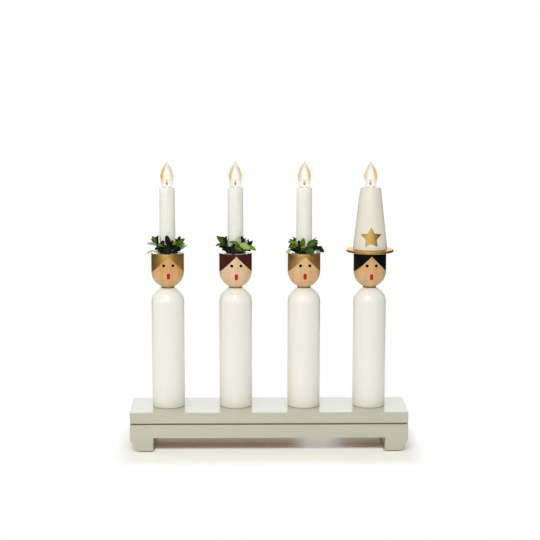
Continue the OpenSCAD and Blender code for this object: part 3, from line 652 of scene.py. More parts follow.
def pick(*objects: bpy.types.Object) -> None:
    """Selects these objects alone and makes the first one active.

    Args:
        objects: The objects.
    """
    pick_nothing()
    for one in objects:
        one.select_set(True)
    bpy.context.view_layer.objects.active = objects[0]


def named(piece: bpy.types.Object, name: str) -> bpy.types.Object:
    """Names a piece and its mesh.

    Args:
        piece: The piece.
        name: Its new name.

    Returns:
        The same piece.
    """
    piece.name = name
    piece.data.name = name
    return piece


def settle(piece: bpy.types.Object) -> None:
    """Applies a piece's place, turn and size, so that its object stands at the origin."""
    pick(piece)
    bpy.ops.object.transform_apply(location=True, rotation=True, scale=True)


def modify(piece: bpy.types.Object, kind: str, **settings: object) -> None:
    """Adds a modifier and applies it.

    Args:
        piece: The piece.
        kind: The modifier's type name.
        settings: The modifier's settings.
    """
    pick(piece)
    modifier = piece.modifiers.new(kind.lower(), kind)
    for key, value in settings.items():
        setattr(modifier, key, value)
    bpy.ops.object.modifier_apply(modifier=modifier.name)


def mark(piece: bpy.types.Object, test: Callable[[Vector], bool], kind: str = "VERT") -> None:
    """Selects the vertices or faces whose middle passes a test, in edit mode.

    Args:
        piece: The piece in edit mode.
        test: Tells from a middle point whether it is taken.
        kind: VERT or FACE.
    """
    bpy.ops.mesh.select_mode(type=kind)
    bpy.ops.mesh.select_all(action="DESELECT")
    mesh = bmesh.from_edit_mesh(piece.data)
    if kind == "FACE":
        parts = [(face, face.calc_center_median()) for face in mesh.faces]
    else:
        parts = [(vertex, vertex.co) for vertex in mesh.verts]
    for part, middle in parts:
        if test(middle):
            part.select_set(True)
    mesh.select_flush_mode()
    bmesh.update_edit_mesh(piece.data)


def tidy(piece: bpy.types.Object, merge_mm: float) -> None:
    """Merges doubles and turns the faces outward.

    Args:
        piece: The piece.
        merge_mm: How near each other doubles lie, in millimetres.
    """
    pick(piece)
    bpy.ops.object.mode_set(mode="EDIT")
    bpy.ops.mesh.select_all(action="SELECT")
    bpy.ops.mesh.remove_doubles(threshold=merge_mm * MM)
    bpy.ops.mesh.normals_make_consistent(inside=False)
    bpy.ops.object.mode_set(mode="OBJECT")


def smooth(piece: bpy.types.Object, angle: float = 35.0) -> None:
    """Shades a piece smooth, with sharp edges above the angle in degrees."""
    pick(piece)
    bpy.ops.object.shade_smooth_by_angle(angle=math.radians(angle), keep_sharp_edges=True)


def turned(name: str, profile: Profile, x: float, sides: int = 96, closed: bool = True) -> bpy.types.Object:
    """Turns a piece on the lathe: a circle that is extruded and resized from station to station.

    Args:
        name: The piece's name.
        profile: Radius and height of each station, in order.
        x: Place of the axis along the row.
        sides: Number of sides round the axis.
        closed: Whether the last station joins the first, as round a bore.

    Returns:
        The piece, smooth and closed.
    """
    pick_nothing()
    least_r = 0.001 * MM  # so that a pole can be resized again; it closes when doubles merge
    start_r, first_z = max(profile[0][0], least_r), profile[0][1]
    bpy.ops.mesh.primitive_circle_add(vertices=sides, radius=start_r, fill_type="NOTHING", location=(x, 0, first_z))
    piece = named(bpy.context.object, name)
    settle(piece)
    bpy.ops.object.mode_set(mode="EDIT")
    bpy.ops.mesh.select_mode(type="EDGE")
    bpy.ops.mesh.select_all(action="SELECT")
    stations = list(profile[1:]) + ([profile[0]] if closed else [])
    radius, height = start_r, first_z
    for next_r, next_z in stations:
        next_r = max(next_r, least_r)
        bpy.ops.mesh.extrude_edges_move(TRANSFORM_OT_translate={"value": (0, 0, next_z - height)})
        share = next_r / radius
        if abs(share - 1) > 1e-9:
            bpy.ops.transform.resize(value=(share, share, 1), center_override=(x, 0, next_z))
        radius, height = next_r, next_z
    bpy.ops.object.mode_set(mode="OBJECT")
    tidy(piece, merge_mm=0.004)
    smooth(piece)
    return piece


def arc_stations(radius: float, centre: tuple[float, float], start: float, end: float, steps: int) -> Profile:
    """Stations along an arc of a profile.

    Args:
        radius: The arc's radius.
        centre: Radius and height of its middle.
        start: First angle from the outward direction, in degrees.
        end: Last angle.
        steps: Number of steps.

    Returns:
        The stations from start to end.
    """
    turns = [math.radians(start + (end - start) * k / steps) for k in range(steps + 1)]
    return [(centre[0] + radius * math.cos(a), centre[1] + radius * math.sin(a)) for a in turns]


def copied(piece: bpy.types.Object, name: str, shift: Sequence[float] = (0, 0, 0)) -> bpy.types.Object:
    """Copies a piece with its mesh.

    Args:
        piece: The piece.
        name: The copy's name.
        shift: How far the copy's mesh is moved.

    Returns:
        The copy.
    """
    twin = piece.copy()
    twin.data = piece.data.copy()
    named(twin, name)
    bpy.context.scene.collection.objects.link(twin)
    twin.data.transform(Matrix.Translation(Vector(shift)))
    return twin


def along_row(first: bpy.types.Object, stem: str, axes: Sequence[float]) -> list[bpy.types.Object]:
    """Copies the first piece of a row to the other figures' axes.

    Args:
        first: The piece on the first axis.
        stem: The copies' name before their number.
        axes: Places of the axes along the row.

    Returns:
        The first piece and its copies, in order.
    """
    return [first] + [copied(first, f"{stem}_{i + 1}", (axes[i] - axes[0], 0, 0)) for i in range(1, len(axes))]


def joined(pieces: Sequence[bpy.types.Object], name: str) -> bpy.types.Object:
    """Joins pieces into one object.

    Args:
        pieces: The pieces; the first one takes in the others.
        name: The name of the whole.

    Returns:
        The whole.
    """
    pick(*pieces)
    bpy.ops.object.join()
    return named(bpy.context.object, name)


def coat(piece: bpy.types.Object, *materials: bpy.types.Material) -> None:
    """Gives a piece its materials.

    Args:
        piece: The piece.
        materials: Its materials in order.
    """
    piece.data.materials.clear()
    for one in materials:
        piece.data.materials.append(one)


def hand_over(piece: bpy.types.Object, body: str, slot: str, *nodes: str) -> None:
    """Puts a finished piece on its body and says which nodes it stands for.

    Args:
        piece: The finished piece.
        body: The body that it rides on.
        slot: The record's material slot; not used.
        nodes: Names of the nodes that it replaces.
    """
    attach(piece, body)
    if nodes:
        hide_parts(*nodes)
    faces = len(piece.data.polygons)
    LOG.info("%s: %d faces, rides on %s, stands for %s", piece.name, faces, body, ", ".join(nodes) or "nothing")


class Finishes:
    """Makes each finish once and hands it out by name."""

    def __init__(self, levels: Levels) -> None:
        """Makes all the materials.

        Args:
            levels: The heights at which some finishes change.
        """
        makers = {
            "bench_paint": BenchPaint(levels.groove_low, levels.groove_high),
            "white_lacquer": WhiteLacquer(),
            # painted shade: the cone gets the bodies' white lacquer a few percent darker, for the lesser light on the
            # hat
            "cone_lacquer": WhiteLacquer("cone_lacquer", "E5E1D2", "E2DECE"),
            "clear_maple_1": ClearMaple("clear_maple_1", "DFB47C", "CD9B5E", "B68049", levels.neck, 0.42),
            "clear_maple_2": ClearMaple("clear_maple_2", "E6C8A2", "DAB588", "C09560", levels.neck),
            "clear_maple_3": ClearMaple("clear_maple_3", "E2BC8B", "D1A46D", "B98953", levels.neck),
            "clear_maple_4": ClearMaple("clear_maple_4", "DEB685", "CB9F67", "B38250", levels.neck, 0.28),
            "gold_paint": GoldPaint(),
            "brown_paint": GlossPaint("brown_paint", "431D15", "3A1710", gloss=0.4),
            "black_paint": GlossPaint("black_paint", "060505", "0A0909", gloss=0.25),
            "red_paint": GlossPaint("red_paint", "C01A20", "B6151B", gloss=0.3),
            "candle_plastic": CandlePlastic(levels.sleeve_top),
            # painted light: the sleeve's inner lip glows, to lighten the shade inside it under the lamp glass
            "candle_lip": LitDiode("candle_lip", levels.lip_low, levels.sleeve_top, "EADFC4", "F2EDDD", 0.45),
            "holder_plastic": Moulded("holder_plastic", "E4E1D6", "DAD6C8", 0.45, 0.5, 0.01),
            "zinc_steel": Metal("zinc_steel", "C9C8C4", 0.32),
            "plated_tube": Metal("plated_tube", "CFC9B4", 0.3, (1, 1, 6)),
            "brass": Metal("brass", "D9B876", 0.28, (1, 1, 5)),
            "spring_steel": Metal("spring_steel", "C6C6C4", 0.22),
            "nickel_cap": Metal("nickel_cap", "D3D0C6", 0.26, (1, 1, 7)),
            "felt": Moulded("felt", "5C5852", "494640", 0.95, 0.5, 0.25),
            "rubber": Moulded("rubber", "242424", "1C1C1C", 0.6, 0.6, 0.02),
            "black_wire": Moulded("black_wire", "222222", "1A1A1A", 0.45, 1.5, 0.01),
            "red_wire": Moulded("red_wire", "9C2A22", "8A221C", 0.42, 1.5, 0.01),
            "gold_foil": GoldFoil(),
        }
        self.made = {name: maker.make() for name, maker in makers.items()}
        for tone in LeafTone:
            self.made[f"leaf_{tone.name}"] = Leaf(tone).make()

    def __getitem__(self, name: str) -> bpy.types.Material:
        """The material of that name."""
        return self.made[name]


@dataclass(frozen=True)
class Levels:
    """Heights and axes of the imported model."""

    axes: list[float]
    bench_top: float
    neck: float
    head_top: float
    sleeve_top: float
    lip_low: float
    groove_low: float
    groove_high: float

    @classmethod
    def read(cls) -> Levels:
        """Reads the levels from the frame's boxes.

        Returns:
            The levels.
        """
        bodies = [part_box(f"body_{i + 1}") for i in FIGURES]
        board_low, board_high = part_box("top_board")
        sleeve_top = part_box("candle_sleeve_1")[1].z
        return cls(
            axes=[(low.x + high.x) / 2 for low, high in bodies],
            bench_top=board_high.z,
            neck=bodies[0][1].z,
            head_top=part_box("head_1")[1].z,
            sleeve_top=sleeve_top,
            lip_low=sleeve_top - 0.0025,
            groove_low=board_low.z - 0.0015,
            groove_high=board_low.z,
        )


# ---------------------------------------------------------------- bench


@dataclass
class Bench:
    """The painted bench: a top board over a rail on two feet, with its small parts."""

    finishes: Finishes
    passage_h: float = 0.0155
    foot_w: float = 0.0265
    slant_w: float = 0.0086
    slant_h: float = 0.0128
    shadow_h: float = 0.0015
    setback: float = 0.003
    softening: float = 0.0004
    bush_play: float = 0.0001
    overcut: float = 0.002
    screw_inset: float = 0.004
    screw_head_r: float = 0.0042
    screw_shank_r: float = 0.0022
    screw_depth: float = 0.0022

    def build(self) -> None:
        """Models the rail with its feet and dresses the rest."""
        self.rail()
        for node, finish in (
            ("top_board", "bench_paint"),
            ("board_screws", "zinc_steel"),
            ("felt_pads", "felt"),
            ("cable_bush", "rubber"),
        ):
            dress(node, self.finishes[finish])

    def rail(self) -> None:
        """Models the rail and its feet as one painted piece."""
        low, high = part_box("bench_rail")
        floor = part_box("bench_feet")[0].z
        rail_low, rail_high, half = low.z, high.z - self.shadow_h, high.x
        pick_nothing()
        bpy.ops.mesh.primitive_cube_add(size=1, location=(0, 0, (rail_low + rail_high) / 2))
        rail = named(bpy.context.object, "bench_frame")
        rail.scale = (2 * half, high.y - low.y, rail_high - rail_low)
        settle(rail)
        bpy.ops.object.mode_set(mode="EDIT")
        for side in (-1, 1):
            bpy.ops.mesh.select_all(action="SELECT")
            bpy.ops.mesh.bisect(plane_co=(side * (half - self.foot_w), 0, 0), plane_no=(1, 0, 0))
        for side in (-1, 1):
            edge = side * (half - self.foot_w)
            mark(rail, lambda m, s=side, e=edge: m.z < rail_low + TINY and s * m.x > s * e, "FACE")
            for drop in (self.passage_h - self.slant_h, self.slant_h):
                bpy.ops.mesh.extrude_region_move(TRANSFORM_OT_translate={"value": (0, 0, -drop)})
            mark(rail, lambda m, s=side: m.z < floor + TINY and s * m.x > half - TINY)
            bpy.ops.transform.translate(value=(-side * self.slant_w, 0, 0))
        mark(rail, lambda m: m.z > rail_high - TINY, "FACE")
        bpy.ops.mesh.inset(thickness=self.setback)
        bpy.ops.mesh.extrude_region_move(TRANSFORM_OT_translate={"value": (0, 0, self.shadow_h)})
        bpy.ops.object.mode_set(mode="OBJECT")
        self.cut_holes(rail)
        tidy(rail, merge_mm=0.002)
        modify(rail, "BEVEL", width=self.softening, segments=3, limit_method="ANGLE", angle_limit=math.radians(40))
        smooth(rail, 40)
        coat(rail, self.finishes["bench_paint"])
        hand_over(rail, ROOT, "bench_paint", "bench_rail", "bench_feet")

    def cut_holes(self, rail: bpy.types.Object) -> None:
        """Cuts the bush's seat in the back and the screw holes underneath.

        Args:
            rail: The rail.
        """
        low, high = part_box("cable_bush")
        seat_r = (high.x - low.x) / 2 + self.bush_play
        reach = high.y - low.y + 2 * self.overcut
        seat = Vector(((low.x + high.x) / 2, high.y - reach / 2 + self.overcut, (low.z + high.z) / 2))
        self.cut(rail, seat, (seat_r, seat_r), reach, math.radians(90))
        low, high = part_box("board_screws")
        for x in (low.x + self.screw_inset, high.x - self.screw_inset):
            for y in (low.y + self.screw_inset, high.y - self.screw_inset):
                place = Vector((x, y, low.z + self.screw_depth / 2))
                self.cut(rail, place, (self.screw_head_r, self.screw_shank_r), self.screw_depth)

    def cut(
        self, rail: bpy.types.Object, place: Vector, radii: tuple[float, float], depth: float, tilt: float = 0.0
    ) -> None:
        """Cuts one round hole.

        Args:
            rail: The rail.
            place: The hole's middle.
            radii: Its radius at its foot and at its head.
            depth: Its depth.
            tilt: Its turn about the row, in radians.
        """
        pick_nothing()
        bpy.ops.mesh.primitive_cone_add(
            vertices=40,
            radius1=radii[0],
            radius2=radii[1],
            depth=depth + 2 * TINY,
            location=place,
            rotation=(tilt, 0, 0),
        )
        cutter = bpy.context.object
        settle(cutter)
        modify(rail, "BOOLEAN", operation="DIFFERENCE", solver="EXACT", object=cutter)
        bpy.data.objects.remove(cutter)


def dress(node: str, *materials: bpy.types.Material) -> None:
    """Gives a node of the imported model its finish.

    Args:
        node: The node's name.
        materials: Its materials in order.
    """
    piece = bpy.data.objects[node]
    coat(piece, *materials)
    LOG.info("%s keeps its packed shape and gets %s", node, ", ".join(m.name for m in materials))


# ---------------------------------------------------------------- figures


@dataclass
class Figure:
    """The four turned choir figures: bodies, heads, hair, eyes and mouths."""

    finishes: Finishes
    levels: Levels
    body_r: float = 0.019
    body_h: float = 0.140
    chamfer: float = 0.001
    flat_r: float = 0.00855
    bore_r: float = 0.0042
    socket_r: float = 0.0071
    socket_h: float = 0.006
    head_r: float = 0.01875
    head_h: float = 0.0408
    neck_r: float = 0.00775
    spigot_r: float = 0.007
    spigot_h: float = 0.0055
    sleeve_socket_r: float = 0.0093
    sleeve_socket_h: float = 0.003
    well_r: float = 0.00728
    well_h: float = 0.005
    film: float = 0.00015
    parting_h: float = 0.0197
    temple_h: float = 0.0005
    eye_r: float = 0.00168
    eye_half_pitch: float = 0.00525
    eye_heights: tuple[float, float, float, float] = (0.0093, 0.0089, 0.009, 0.0087)
    mouth_w: float = 0.0039
    mouth_h: float = 0.0074
    mouth_drops: tuple[float, float, float, float] = (0.0032, 0.0042, 0.0036, 0.0044)
    turns: tuple[float, float, float, float] = (5.0, 3.0, 2.0, 2.5)
    soft: float = 0.00035
    edge: float = 0.0005
    sides: int = 128

    def build(self) -> None:
        """Models all four figures."""
        self.bodies()
        self.heads()
        self.hair()
        self.eyes()
        self.mouths()

    def body_profile(self) -> Profile:
        """Stations of the body from the foot of its bore, outside first.

        Returns:
            The stations.
        """
        z = self.levels.bench_top
        ball_h = math.sqrt(self.body_r**2 - self.flat_r**2)
        ball_z = z + self.body_h - ball_h
        top = z + self.body_h
        end = math.degrees(math.atan2(ball_h, self.flat_r))
        foot_r, soft = self.body_r - self.chamfer, self.soft
        return (
            [(self.bore_r, z), (foot_r - soft, z), (foot_r, z + soft * 0.4)]
            + [(self.body_r - soft * 0.4, z + self.chamfer), (self.body_r, z + self.chamfer + soft)]
            + [(self.body_r, z + share * (ball_z - z)) for share in (0.1, 0.3, 0.5, 0.7, 0.9)]
            + arc_stations(self.body_r, (0, ball_z), 0, end, 30)
            + [(self.socket_r, top), (self.socket_r, top - self.socket_h), (self.bore_r, top - self.socket_h)]
        )

    def bodies(self) -> None:
        """Turns one body and copies it along the row."""
        first = turned("turned_body_1", self.body_profile(), self.levels.axes[0], self.sides)
        coat(first, self.finishes["white_lacquer"])
        for i, piece in enumerate(along_row(first, "turned_body", self.levels.axes)):
            hand_over(piece, ROOT, "white_lacquer", f"body_{i + 1}")

    def head_profile(self) -> Profile:
        """Stations of the head from its spigot, outside first.

        Returns:
            The stations.
        """
        z = self.levels.neck
        ball_z = z + self.head_r
        top = z + self.head_h
        start = -math.degrees(math.acos(self.neck_r / self.head_r))
        edge = self.edge
        return (
            [(self.bore_r, z - self.spigot_h), (self.spigot_r, z - self.spigot_h), (self.spigot_r, z)]
            + [(self.neck_r, z)]
            + arc_stations(self.head_r, (0, ball_z), start, 0, 30)
            + [(self.head_r, ball_z + share * (top - edge - ball_z)) for share in QUARTERS]
            + arc_stations(edge, (self.head_r - edge, top - edge), 0, 90, 4)
            + [(self.sleeve_socket_r, top), (self.sleeve_socket_r, top - self.sleeve_socket_h)]
            + [(self.well_r, top - self.sleeve_socket_h), (self.well_r, top - self.sleeve_socket_h - self.well_h)]
            + [(self.bore_r, top - self.sleeve_socket_h - self.well_h)]
        )

    def heads(self) -> None:
        """Turns one head, with a lacquered top face, and copies it along the row."""
        first = turned("turned_head_1", self.head_profile(), self.levels.axes[0], self.sides)
        coat(first, self.finishes["clear_maple_1"], self.finishes["white_lacquer"])
        top = self.levels.head_top
        for face in first.data.polygons:
            if face.normal.z > 0.9 and face.center.z > top - 10 * TINY:
                face.material_index = 1
        for i, piece in enumerate(along_row(first, "turned_head", self.levels.axes)):
            piece.data.materials[0] = self.finishes[f"clear_maple_{i + 1}"]
            hand_over(piece, ROOT, "clear_maple", f"head_{i + 1}")

    def head_turn(self, i: int) -> Matrix:
        """The turn of a head about its own axis.

        Args:
            i: Number of the figure from zero.

        Returns:
            The turn as a matrix.
        """
        axis = Vector((self.levels.axes[i], 0, 0))
        turn = Matrix.Rotation(math.radians(self.turns[i]), 4, "Z")
        return Matrix.Translation(axis) @ turn @ Matrix.Translation(-axis)

    def hair(self) -> None:
        """Paints each head's hair: a film down to the widest line, open in front under its parting."""
        pieces = [self.one_hair(i) for i in FIGURES]
        fair = joined([pieces[0], pieces[2]], "hair_film_gold")
        coat(fair, self.finishes["gold_paint"])
        hand_over(fair, ROOT, "gold_paint", "hair_gold")
        for i, name in ((1, "brown"), (3, "black")):
            pieces[i].name = f"hair_film_{name}"
            coat(pieces[i], self.finishes[f"{name}_paint"])
            hand_over(pieces[i], ROOT, f"{name}_paint", f"hair_{name}")

    def one_hair(self, i: int) -> bpy.types.Object:
        """Models the film of one head's hair.

        Args:
            i: Number of the figure from zero.

        Returns:
            The film, turned with its head.
        """
        x = self.levels.axes[i]
        low = self.levels.neck + self.head_r
        top = self.levels.head_top
        out_r = self.head_r + self.film
        edge = self.edge
        sunk, depth, over = 0.0001, 0.03, 0.001
        profile: Profile = [(self.head_r - sunk, low), (out_r, low)]
        profile += [(out_r, low + share * (top - edge - low)) for share in QUARTERS]
        profile += arc_stations(edge, (out_r - edge, top - edge), 0, 80, 4)
        profile += [(self.head_r - 2 * edge, top - 3 * sunk), (self.head_r - sunk, top - 2 * edge)]
        film = turned(f"hair_{i}", profile, x, self.sides)
        rise = self.parting_h - self.temple_h
        slant = self.head_r * (self.parting_h + over) / rise
        pick_nothing()
        bpy.ops.mesh.primitive_cube_add(size=1, location=(x, -depth / 2, low + 0.5 * (self.parting_h - over)))
        wedge = bpy.context.object
        wedge.scale = (2 * slant, depth, self.parting_h + over)
        settle(wedge)
        bpy.ops.object.mode_set(mode="EDIT")
        mark(wedge, lambda m: m.z > low + self.parting_h - 10 * TINY)
        bpy.ops.transform.resize(value=(0.0001, 1, 1), center_override=(x, 0, low + self.parting_h))
        bpy.ops.mesh.remove_doubles(threshold=2 * TINY)
        bpy.ops.object.mode_set(mode="OBJECT")
        modify(film, "BOOLEAN", operation="DIFFERENCE", solver="EXACT", object=wedge)
        bpy.data.objects.remove(wedge)
        film.data.transform(self.head_turn(i))
        smooth(film)
        return film

    def film_patch(
        self, name: str, i: int, dx: float, height: float, half_w: float, straight: float
    ) -> bpy.types.Object:
        """A small round-ended film that lies on the front of a head.

        Args:
            name: The piece's name.
            i: Number of the figure from zero.
            dx: How far the patch stands to the side.
            height: Its height above the head's widest line.
            half_w: Half its width.
            straight: Length of its straight part, upright.

        Returns:
            The patch, wrapped on the head and turned with it.
        """
        x = self.levels.axes[i]
        z = self.levels.neck + self.head_r + height
        pick_nothing()
        bpy.ops.mesh.primitive_circle_add(
            vertices=40,
            radius=half_w,
            fill_type="NGON",
            location=(x + dx, -0.03, z),
            rotation=(math.radians(90), 0, 0),
        )
        patch = bpy.context.object
        patch.name = name
        settle(patch)
        bpy.ops.object.mode_set(mode="EDIT")
        if straight > 0:
            for end in (-1, 1):
                mark(patch, lambda m, e=end: e * (m.z - z) > 1e-6)
                bpy.ops.transform.translate(value=(0, 0, end * straight / 2))
        bpy.ops.mesh.select_mode(type="FACE")
        bpy.ops.mesh.select_all(action="SELECT")
        for _ in range(3):
            bpy.ops.mesh.inset(thickness=half_w * 0.24)
        bpy.ops.object.mode_set(mode="OBJECT")
        head = bpy.data.objects[f"turned_head_{i + 1}"]
        modify(
            patch,
            "SHRINKWRAP",
            target=head,
            wrap_method="PROJECT",
            use_project_y=True,
            use_positive_direction=True,
            use_negative_direction=False,
            offset=self.film,
            wrap_mode="ABOVE_SURFACE",
        )
        modify(patch, "SOLIDIFY", thickness=self.film * 0.9, offset=-1)
        patch.data.transform(self.head_turn(i))
        tidy(patch, 0.0005)
        smooth(patch, 60)
        return patch

    def eyes(self) -> None:
        """Paints two round eyes on each head."""
        made = [
            self.film_patch(f"eye_{i}_{side}", i, side * self.eye_half_pitch, self.eye_heights[i], self.eye_r, 0.0)
            for i in FIGURES
            for side in (-1, 1)
        ]
        piece = joined(made, "eye_films")
        coat(piece, self.finishes["black_paint"])
        hand_over(piece, ROOT, "black_paint", "eyes")

    def mouths(self) -> None:
        """Paints a singing mouth on each head."""
        straight = self.mouth_h - self.mouth_w
        made = [
            self.film_patch(f"mouth_{i}", i, 0.0, -self.mouth_drops[i], self.mouth_w / 2, straight)
            for i in FIGURES
        ]
        piece = joined(made, "mouth_films")
        coat(piece, self.finishes["red_paint"])
        hand_over(piece, ROOT, "red_paint", "mouths")


# ---------------------------------------------------------------- candles and lamps


@dataclass
class Candle:
    """Candle sleeve on each head, with the stem and holder inside it."""

    finishes: Finishes
    levels: Levels
    foot_r: float = 0.0092
    top_r: float = 0.00875
    bore_r: float = 0.0074
    lip_r: float = 0.0067
    lip_h: float = 0.0025
    edge: float = 0.0004
    socket_h: float = 0.003

    def build(self) -> None:
        """Turns one sleeve, copies it, and dresses what it holds."""
        low = self.levels.head_top - self.socket_h
        top = self.levels.sleeve_top
        profile: Profile = [(self.bore_r, low), (self.foot_r, low)]
        taper, rise = self.top_r - self.foot_r, top - self.edge - low
        profile += [(self.foot_r + taper * share, low + rise * share) for share in QUARTERS]
        profile += arc_stations(self.edge, (self.top_r - self.edge, top - self.edge), 0, 90, 4)
        profile += [(self.lip_r + self.edge, top), (self.lip_r + self.edge * 0.3, top - self.edge * 0.3)]
        profile += [(self.lip_r, top - self.edge), (self.lip_r, top - self.lip_h), (self.bore_r, top - self.lip_h)]
        first = turned("sleeve_1", profile, self.levels.axes[0], 96)
        coat(first, self.finishes["candle_plastic"], self.finishes["candle_lip"])
        # the inner lip takes the glow of painted light
        for face in first.data.polygons:
            reach = math.hypot(face.center.x - self.levels.axes[0], face.center.y)
            if face.center.z > top - self.lip_h and reach < self.lip_r + self.edge:
                face.material_index = 1
        for i, piece in enumerate(along_row(first, "sleeve", self.levels.axes)):
            hand_over(piece, ROOT, "candle_plastic", f"candle_sleeve_{i + 1}")
            for stem, finish in (
                ("lampholder", "holder_plastic"),
                ("contact_pin", "brass"),
                ("contact_spring", "spring_steel"),
                ("lamp_cap", "nickel_cap"),
            ):
                dress(f"{stem}_{i + 1}", self.finishes[finish])
        for node, finish in (
            ("stem_tubes", "plated_tube"),
            ("stem_nuts", "brass"),
            ("thread_shells", "brass"),
            ("base_washers", "zinc_steel"),
            ("link_wires", "black_wire"),
            ("feed_wires", "red_wire"),
            ("splice_sleeves", "red_wire"),
        ):
            dress(node, self.finishes[finish])


@dataclass(frozen=True)
class LightPart:
    """One turned part of the light, with radii and heights above the sleeve in millimetres.

    Its colour goes from the first tone to the second over its span.
    """

    finish: str
    span: tuple[float, float]
    tones: tuple[str, str]
    strength: float
    profile: tuple[tuple[float, float], ...]


LIGHT_PARTS = (
    # painted light: the stalk under the diode glows, though it gives no light
    LightPart(
        "diode_stem",
        span=(-6.7, 1.8),
        tones=("EDEBDD", "F7F5EA"),
        strength=0.7,
        profile=((0, -6.7), (4.1, -6.7), (4.1, -3.7), (1.2, -2.9), (0.8, 0.8), (0.8, 1.8), (0, 1.8)),
    ),
    LightPart(
        "diode_frame",
        span=(3.6, 6.0),
        tones=("9A6234", "C98F5A"),
        strength=0.6,
        profile=((0, 1.9), (0.6, 2), (0.6, 3.4), (1.2, 3.8), (1.3, 4.4), (1.2, 5.8))
        + ((0.8, 6.2), (0.4, 6.4), (0, 7.6)),
    ),
    LightPart(
        "diode_chip",
        span=(7.7, 8.7),
        tones=("D2964F", "E0AE6C"),
        strength=0.55,
        profile=((0, 7.7), (1.9, 7.8), (2.1, 8.1), (1.9, 8.6), (0, 8.7)),
    ),
    LightPart(
        "diode_lens",
        span=(9.0, 12.9),
        tones=("FFF7E2", "FFFBF0"),
        strength=0.5,
        profile=((0, 9), (1.7, 9.1), (1.9, 9.7), (1.85, 11))
        + tuple((1.9 * math.cos(a), 11 + 1.9 * math.sin(a)) for a in (0.3, 0.6, 0.9, 1.2))
        + ((0, 12.9),),
    ),
)


@dataclass
class Lamp:
    """Flame-shaped screw lamp: a blown glass wall round a lit diode on its stalk."""

    finishes: Finishes
    levels: Levels
    glass_d: float = 0.0149
    show_h: float = 0.0296
    belly_h: float = 0.0128
    neck_d: float = 0.0124
    foot_drop: float = 0.0037
    foot_r: float = 0.0049
    foot_rim: float = 0.0004
    tip_r: float = 0.00002
    wall_t: float = 0.00035
    swell: float = 0.0007
    swell_at: float = 0.62
    swell_reach: float = 0.2
    steps: int = 40
    # on which side of each glass the painted amber light is deeper
    glow_sides: tuple[float, float, float, float] = (-1.0, -0.3, 0.3, 1.0)

    def outer_r(self, h: float) -> float:
        """Outer radius of the glass: a barrel below its widest line and a flame above.

        Args:
            h: Height above the sleeve.

        Returns:
            The radius.
        """
        if h >= self.belly_h:
            rise = (h - self.belly_h) / (self.show_h - self.belly_h)
            return self.glass_d / 2 * (math.cos(math.radians(90 * rise)) + 1 - rise * rise) / 2
        drop = min((self.belly_h - h) / self.belly_h, 1)
        narrow = (math.sin(math.radians(90 * drop)) + (1 - math.cos(math.radians(180 * drop))) / 2) / 2
        return self.glass_d / 2 - (self.glass_d - self.neck_d) / 2 * narrow

    def wall(self, h: float) -> float:
        """Thickness of the glass at height h: thin at the neck and heavier toward the tip."""
        rise = max(0.0, min(1.0, h / self.show_h))
        return self.wall_t + self.swell * math.exp(-(((rise - self.swell_at) / self.swell_reach) ** 2))

    def build(self) -> None:
        """Blows one glass, sets one diode, and copies both."""
        shells = along_row(self.glass(), "flame_glass", self.levels.axes)
        lights = along_row(self.light(), "lit_diode", self.levels.axes)
        for i, (shell, lit) in enumerate(zip(shells, lights)):
            finish = LampGlass(i + 1, self.levels.axes[i], self.levels.sleeve_top, self.glow_sides[i])
            coat(shell, finish.make())
            hand_over(shell, f"lamp_{i + 1}", "lamp_glass", f"lamp_glass_{i + 1}")
            hand_over(lit, f"lamp_{i + 1}", "lit_diode", f"lamp_diode_{i + 1}")

    def glass(self) -> bpy.types.Object:
        """Models the glass as one closed wall with an outer and an inner face.

        Returns:
            The first glass.
        """
        z = self.levels.sleeve_top
        nearer = 1.35  # the stations lie nearer each other toward the tip
        heights = [self.show_h * (1 - (1 - k / self.steps) ** nearer) for k in range(self.steps + 1)]
        outside = [(self.outer_r(h), z + h) for h in heights[:-1]]
        inner_r = [(self.outer_r(h) - self.wall(h), z + h) for h in heights]
        inside = [(r, level) for r, level in inner_r if r > self.foot_rim]
        foot = z - self.foot_drop
        profile: Profile = [(self.foot_r - self.foot_rim, foot), (self.foot_r, foot)]
        profile += outside + [(self.tip_r, z + self.show_h)]
        inner: Profile = [(self.tip_r, inside[-1][1] + self.foot_rim)] + inside[::-1]
        piece = turned("flame_outside", profile, self.levels.axes[0], 64, closed=False)
        hollow = turned("flame_inside", inner, self.levels.axes[0], 64, closed=False)
        whole = joined([piece, hollow], "flame_glass_1")
        self.close_foot(whole)
        tidy(whole, 0.005)
        smooth(whole, 50)
        return whole

    def close_foot(self, glass: bpy.types.Object) -> None:
        """Bridges the open edge of the foot to the open edge of the inner face.

        Args:
            glass: The outer and inner faces, joined.
        """
        pick(glass)
        bpy.ops.object.mode_set(mode="EDIT")
        bpy.ops.mesh.select_mode(type="EDGE")
        bpy.ops.mesh.select_all(action="DESELECT")
        mesh = bmesh.from_edit_mesh(glass.data)
        rims = [e for e in mesh.edges if e.is_boundary and abs(e.verts[0].co.z - e.verts[1].co.z) < 1e-7]
        rims = [e for e in rims if (e.verts[0].co - e.verts[1].co).length > 0.00005]
        for e in rims:
            e.select_set(True)
        bmesh.update_edit_mesh(glass.data)
        bpy.ops.mesh.bridge_edge_loops()
        bpy.ops.object.mode_set(mode="OBJECT")

    def light(self) -> bpy.types.Object:
        """Models the stalk, the diode's frame, its chip and its lens.

        Returns:
            The first light.
        """
        z = self.levels.sleeve_top
        parts = []
        for k, row in enumerate(LIGHT_PARTS):
            profile = [(r * MM, z + h * MM) for r, h in row.profile]
            part = turned(f"light_part_{k}", profile, self.levels.axes[0], 32, closed=False)
            low, high = (z + h * MM for h in row.span)
            coat(part, LitDiode(row.finish, low, high, *row.tones, row.strength).make())
            parts.append(part)
        return joined(parts, "lit_diode_1")


# ---------------------------------------------------------------- wreaths


